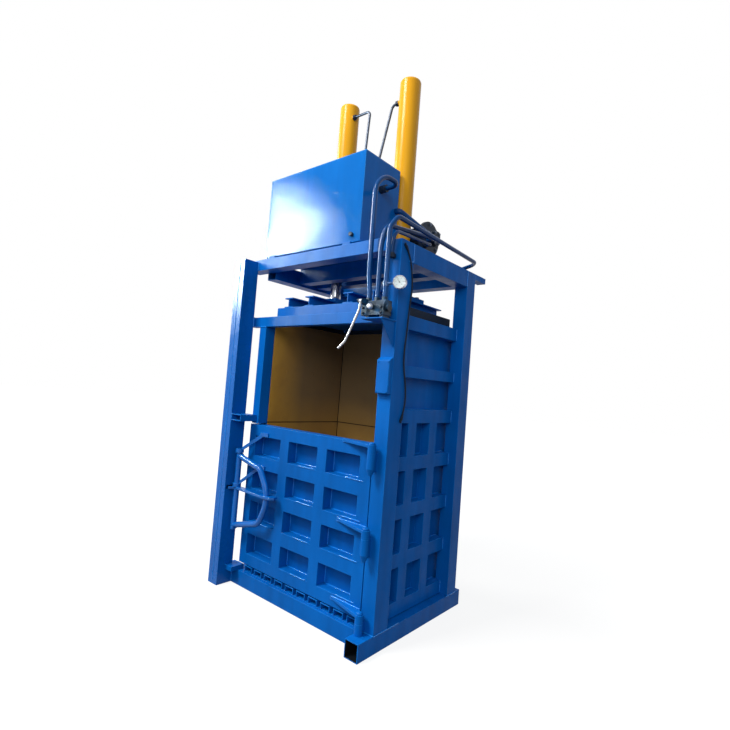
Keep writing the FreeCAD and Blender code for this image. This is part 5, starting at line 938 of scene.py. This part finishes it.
# the stem in the pipes' blue, darkened as painted shade
tree.links.new(covered(tree, steel_tone, (0.0022, 0.056, 0.185), on_stem),
               shader.inputs["Base Color"])
tree.links.new(spread(tree, on_stem, 0.9, 0.0, 0.0, 1.0), shader.inputs["Metallic"])
tree.links.new(spread(tree, polish, 0.18, 0.32), shader.inputs["Roughness"])
relief(tree, shader, [(polish, 0.0002)])
dress(bezel_steel, "gauge_case")
pane, tree, shader, place = new_finish("gauge_glass")
smear = noise(tree, place, 60.0)
tree.links.new(graded(tree, smear, [(0.3, (0.96, 0.98, 0.98)), (0.7, (1.0, 1.0, 1.0))]),
               shader.inputs["Base Color"])
tree.links.new(spread(tree, smear, 0.01, 0.05), shader.inputs["Roughness"])
shader.inputs["Transmission Weight"].default_value = 1.0
shader.inputs["IOR"].default_value = 1.3
dress(pane, "gauge_glass")
ink, tree, shader, place = new_finish("needle_paint")
ink_tone = graded(tree, noise(tree, place, 200.0),
                  [(0.3, (0.01, 0.01, 0.012)), (0.7, (0.03, 0.03, 0.03))])
tree.links.new(ink_tone, shader.inputs["Base Color"])
shader.inputs["Roughness"].default_value = 0.4
dress(ink, "gauge_needle")
# the dial's white, toned down to pale grey as painted shade
dial_grey_painted_shade, tree, shader, place = new_finish("dial_card")
card_tone = graded(tree, noise(tree, place, 45.0),
                   [(0.3, (0.50, 0.56, 0.57)), (0.7, (0.60, 0.66, 0.67))])
tree.links.new(card_tone, shader.inputs["Base Color"])
shader.inputs["Roughness"].default_value = 0.55
relief(tree, shader, [(noise(tree, place, 600.0), 0.0001)])

GAUGE_TURN = math.radians(20)
facing = Vector((math.sin(GAUGE_TURN), -math.cos(GAUGE_TURN), 0.0))
across = facing.cross(Vector((0, 0, 1))) * -1.0
dial_turn = Matrix((across, Vector((0, 0, 1)), facing)).transposed().to_4x4()
dial_seat = Matrix.Translation((0.664, -0.480, 1.939)) @ dial_turn
bpy.ops.object.select_all(action="DESELECT")
bpy.ops.mesh.primitive_cylinder_add(vertices=56, radius=0.0308, depth=0.0008,
                                    location=(0.0, 0.0, 0.0085))
bpy.ops.object.transform_apply(location=True)
choose("FACE", lambda c, n: n.z > 0.9)
bpy.ops.mesh.inset(thickness=0.0012, depth=0.0)
bpy.ops.mesh.inset(thickness=0.0003, depth=-0.0003)
bpy.ops.object.mode_set(mode="OBJECT")
bpy.context.object.matrix_world = dial_seat
finished("gauge_dial", dial_grey_painted_shade, "frame", 20.0)

SCALE_START = 225.0
SCALE_SWEEP = 270.0
SCALE_PARTS = 25
SCALE_RADIUS = 0.0285
FIGURE_RADIUS = 0.0190
DIAL_FACE = 0.0088
marks = []
for step in range(SCALE_PARTS + 1):
    angle = math.radians(SCALE_START - SCALE_SWEEP * step / SCALE_PARTS)
    length, width = (0.0050, 0.0011) if step % 5 == 0 else (0.0030, 0.0006)
    bpy.ops.object.select_all(action="DESELECT")
    bpy.ops.mesh.primitive_plane_add(size=1.0)
    mark = bpy.context.object
    mark.scale = (length, width, 1.0)
    bpy.ops.object.transform_apply(scale=True)
    choose("FACE", lambda c, n: True)
    bpy.ops.mesh.extrude_region_move(TRANSFORM_OT_translate={"value": (0.0, 0.0, 0.0001)})
    bpy.ops.object.mode_set(mode="OBJECT")
    mark.matrix_world = (dial_seat @ Matrix.Rotation(angle, 4, "Z")
                         @ Matrix.Translation((SCALE_RADIUS - length / 2, 0.0, DIAL_FACE)))
    marks.append(mark)
for number in range(0, SCALE_PARTS + 1, 5):
    angle = math.radians(SCALE_START - SCALE_SWEEP * number / SCALE_PARTS)
    bpy.ops.object.select_all(action="DESELECT")
    bpy.ops.object.text_add()
    sign = bpy.context.object
    sign.data.body = str(number)
    sign.data.size = 0.0070
    sign.data.align_x = "CENTER"
    sign.data.align_y = "CENTER"
    sign.data.extrude = 0.00005
    bpy.ops.object.convert(target="MESH")
    sign = bpy.context.object
    sign.matrix_world = dial_seat @ Matrix.Translation(
        (FIGURE_RADIUS * math.cos(angle), FIGURE_RADIUS * math.sin(angle), DIAL_FACE))
    marks.append(sign)
in_one(marks)
finished("gauge_scale", ink, "frame", 20.0)

# ------------------------------------------------------------------------------ box on the post
# A shallow sheet box with a sloped top, screwed to the front of the hinge post, in the frame's
# blue. Its lid has a folded rim.
dress(blue, "post_box")
BOX_X = 0.569
BOX_Z = 1.4435
bpy.ops.object.select_all(action="DESELECT")
bpy.ops.mesh.primitive_cube_add(size=1.0, location=(BOX_X, -0.4470, BOX_Z),
                                scale=(0.082, 0.0026, 0.175))
bpy.ops.object.transform_apply(location=True, scale=True)
choose("FACE", lambda c, n: n.y < -0.9)
bpy.ops.mesh.inset(thickness=0.0022, depth=0.0012)
bpy.ops.object.mode_set(mode="OBJECT")
finished("box_lid", blue, "frame", 20.0)
bolts("box_screws", 0.0032, corners((BOX_X, -0.4492, BOX_Z), (0.035, 0.0, 0.081), OUTWARD), "frame",
      blue)
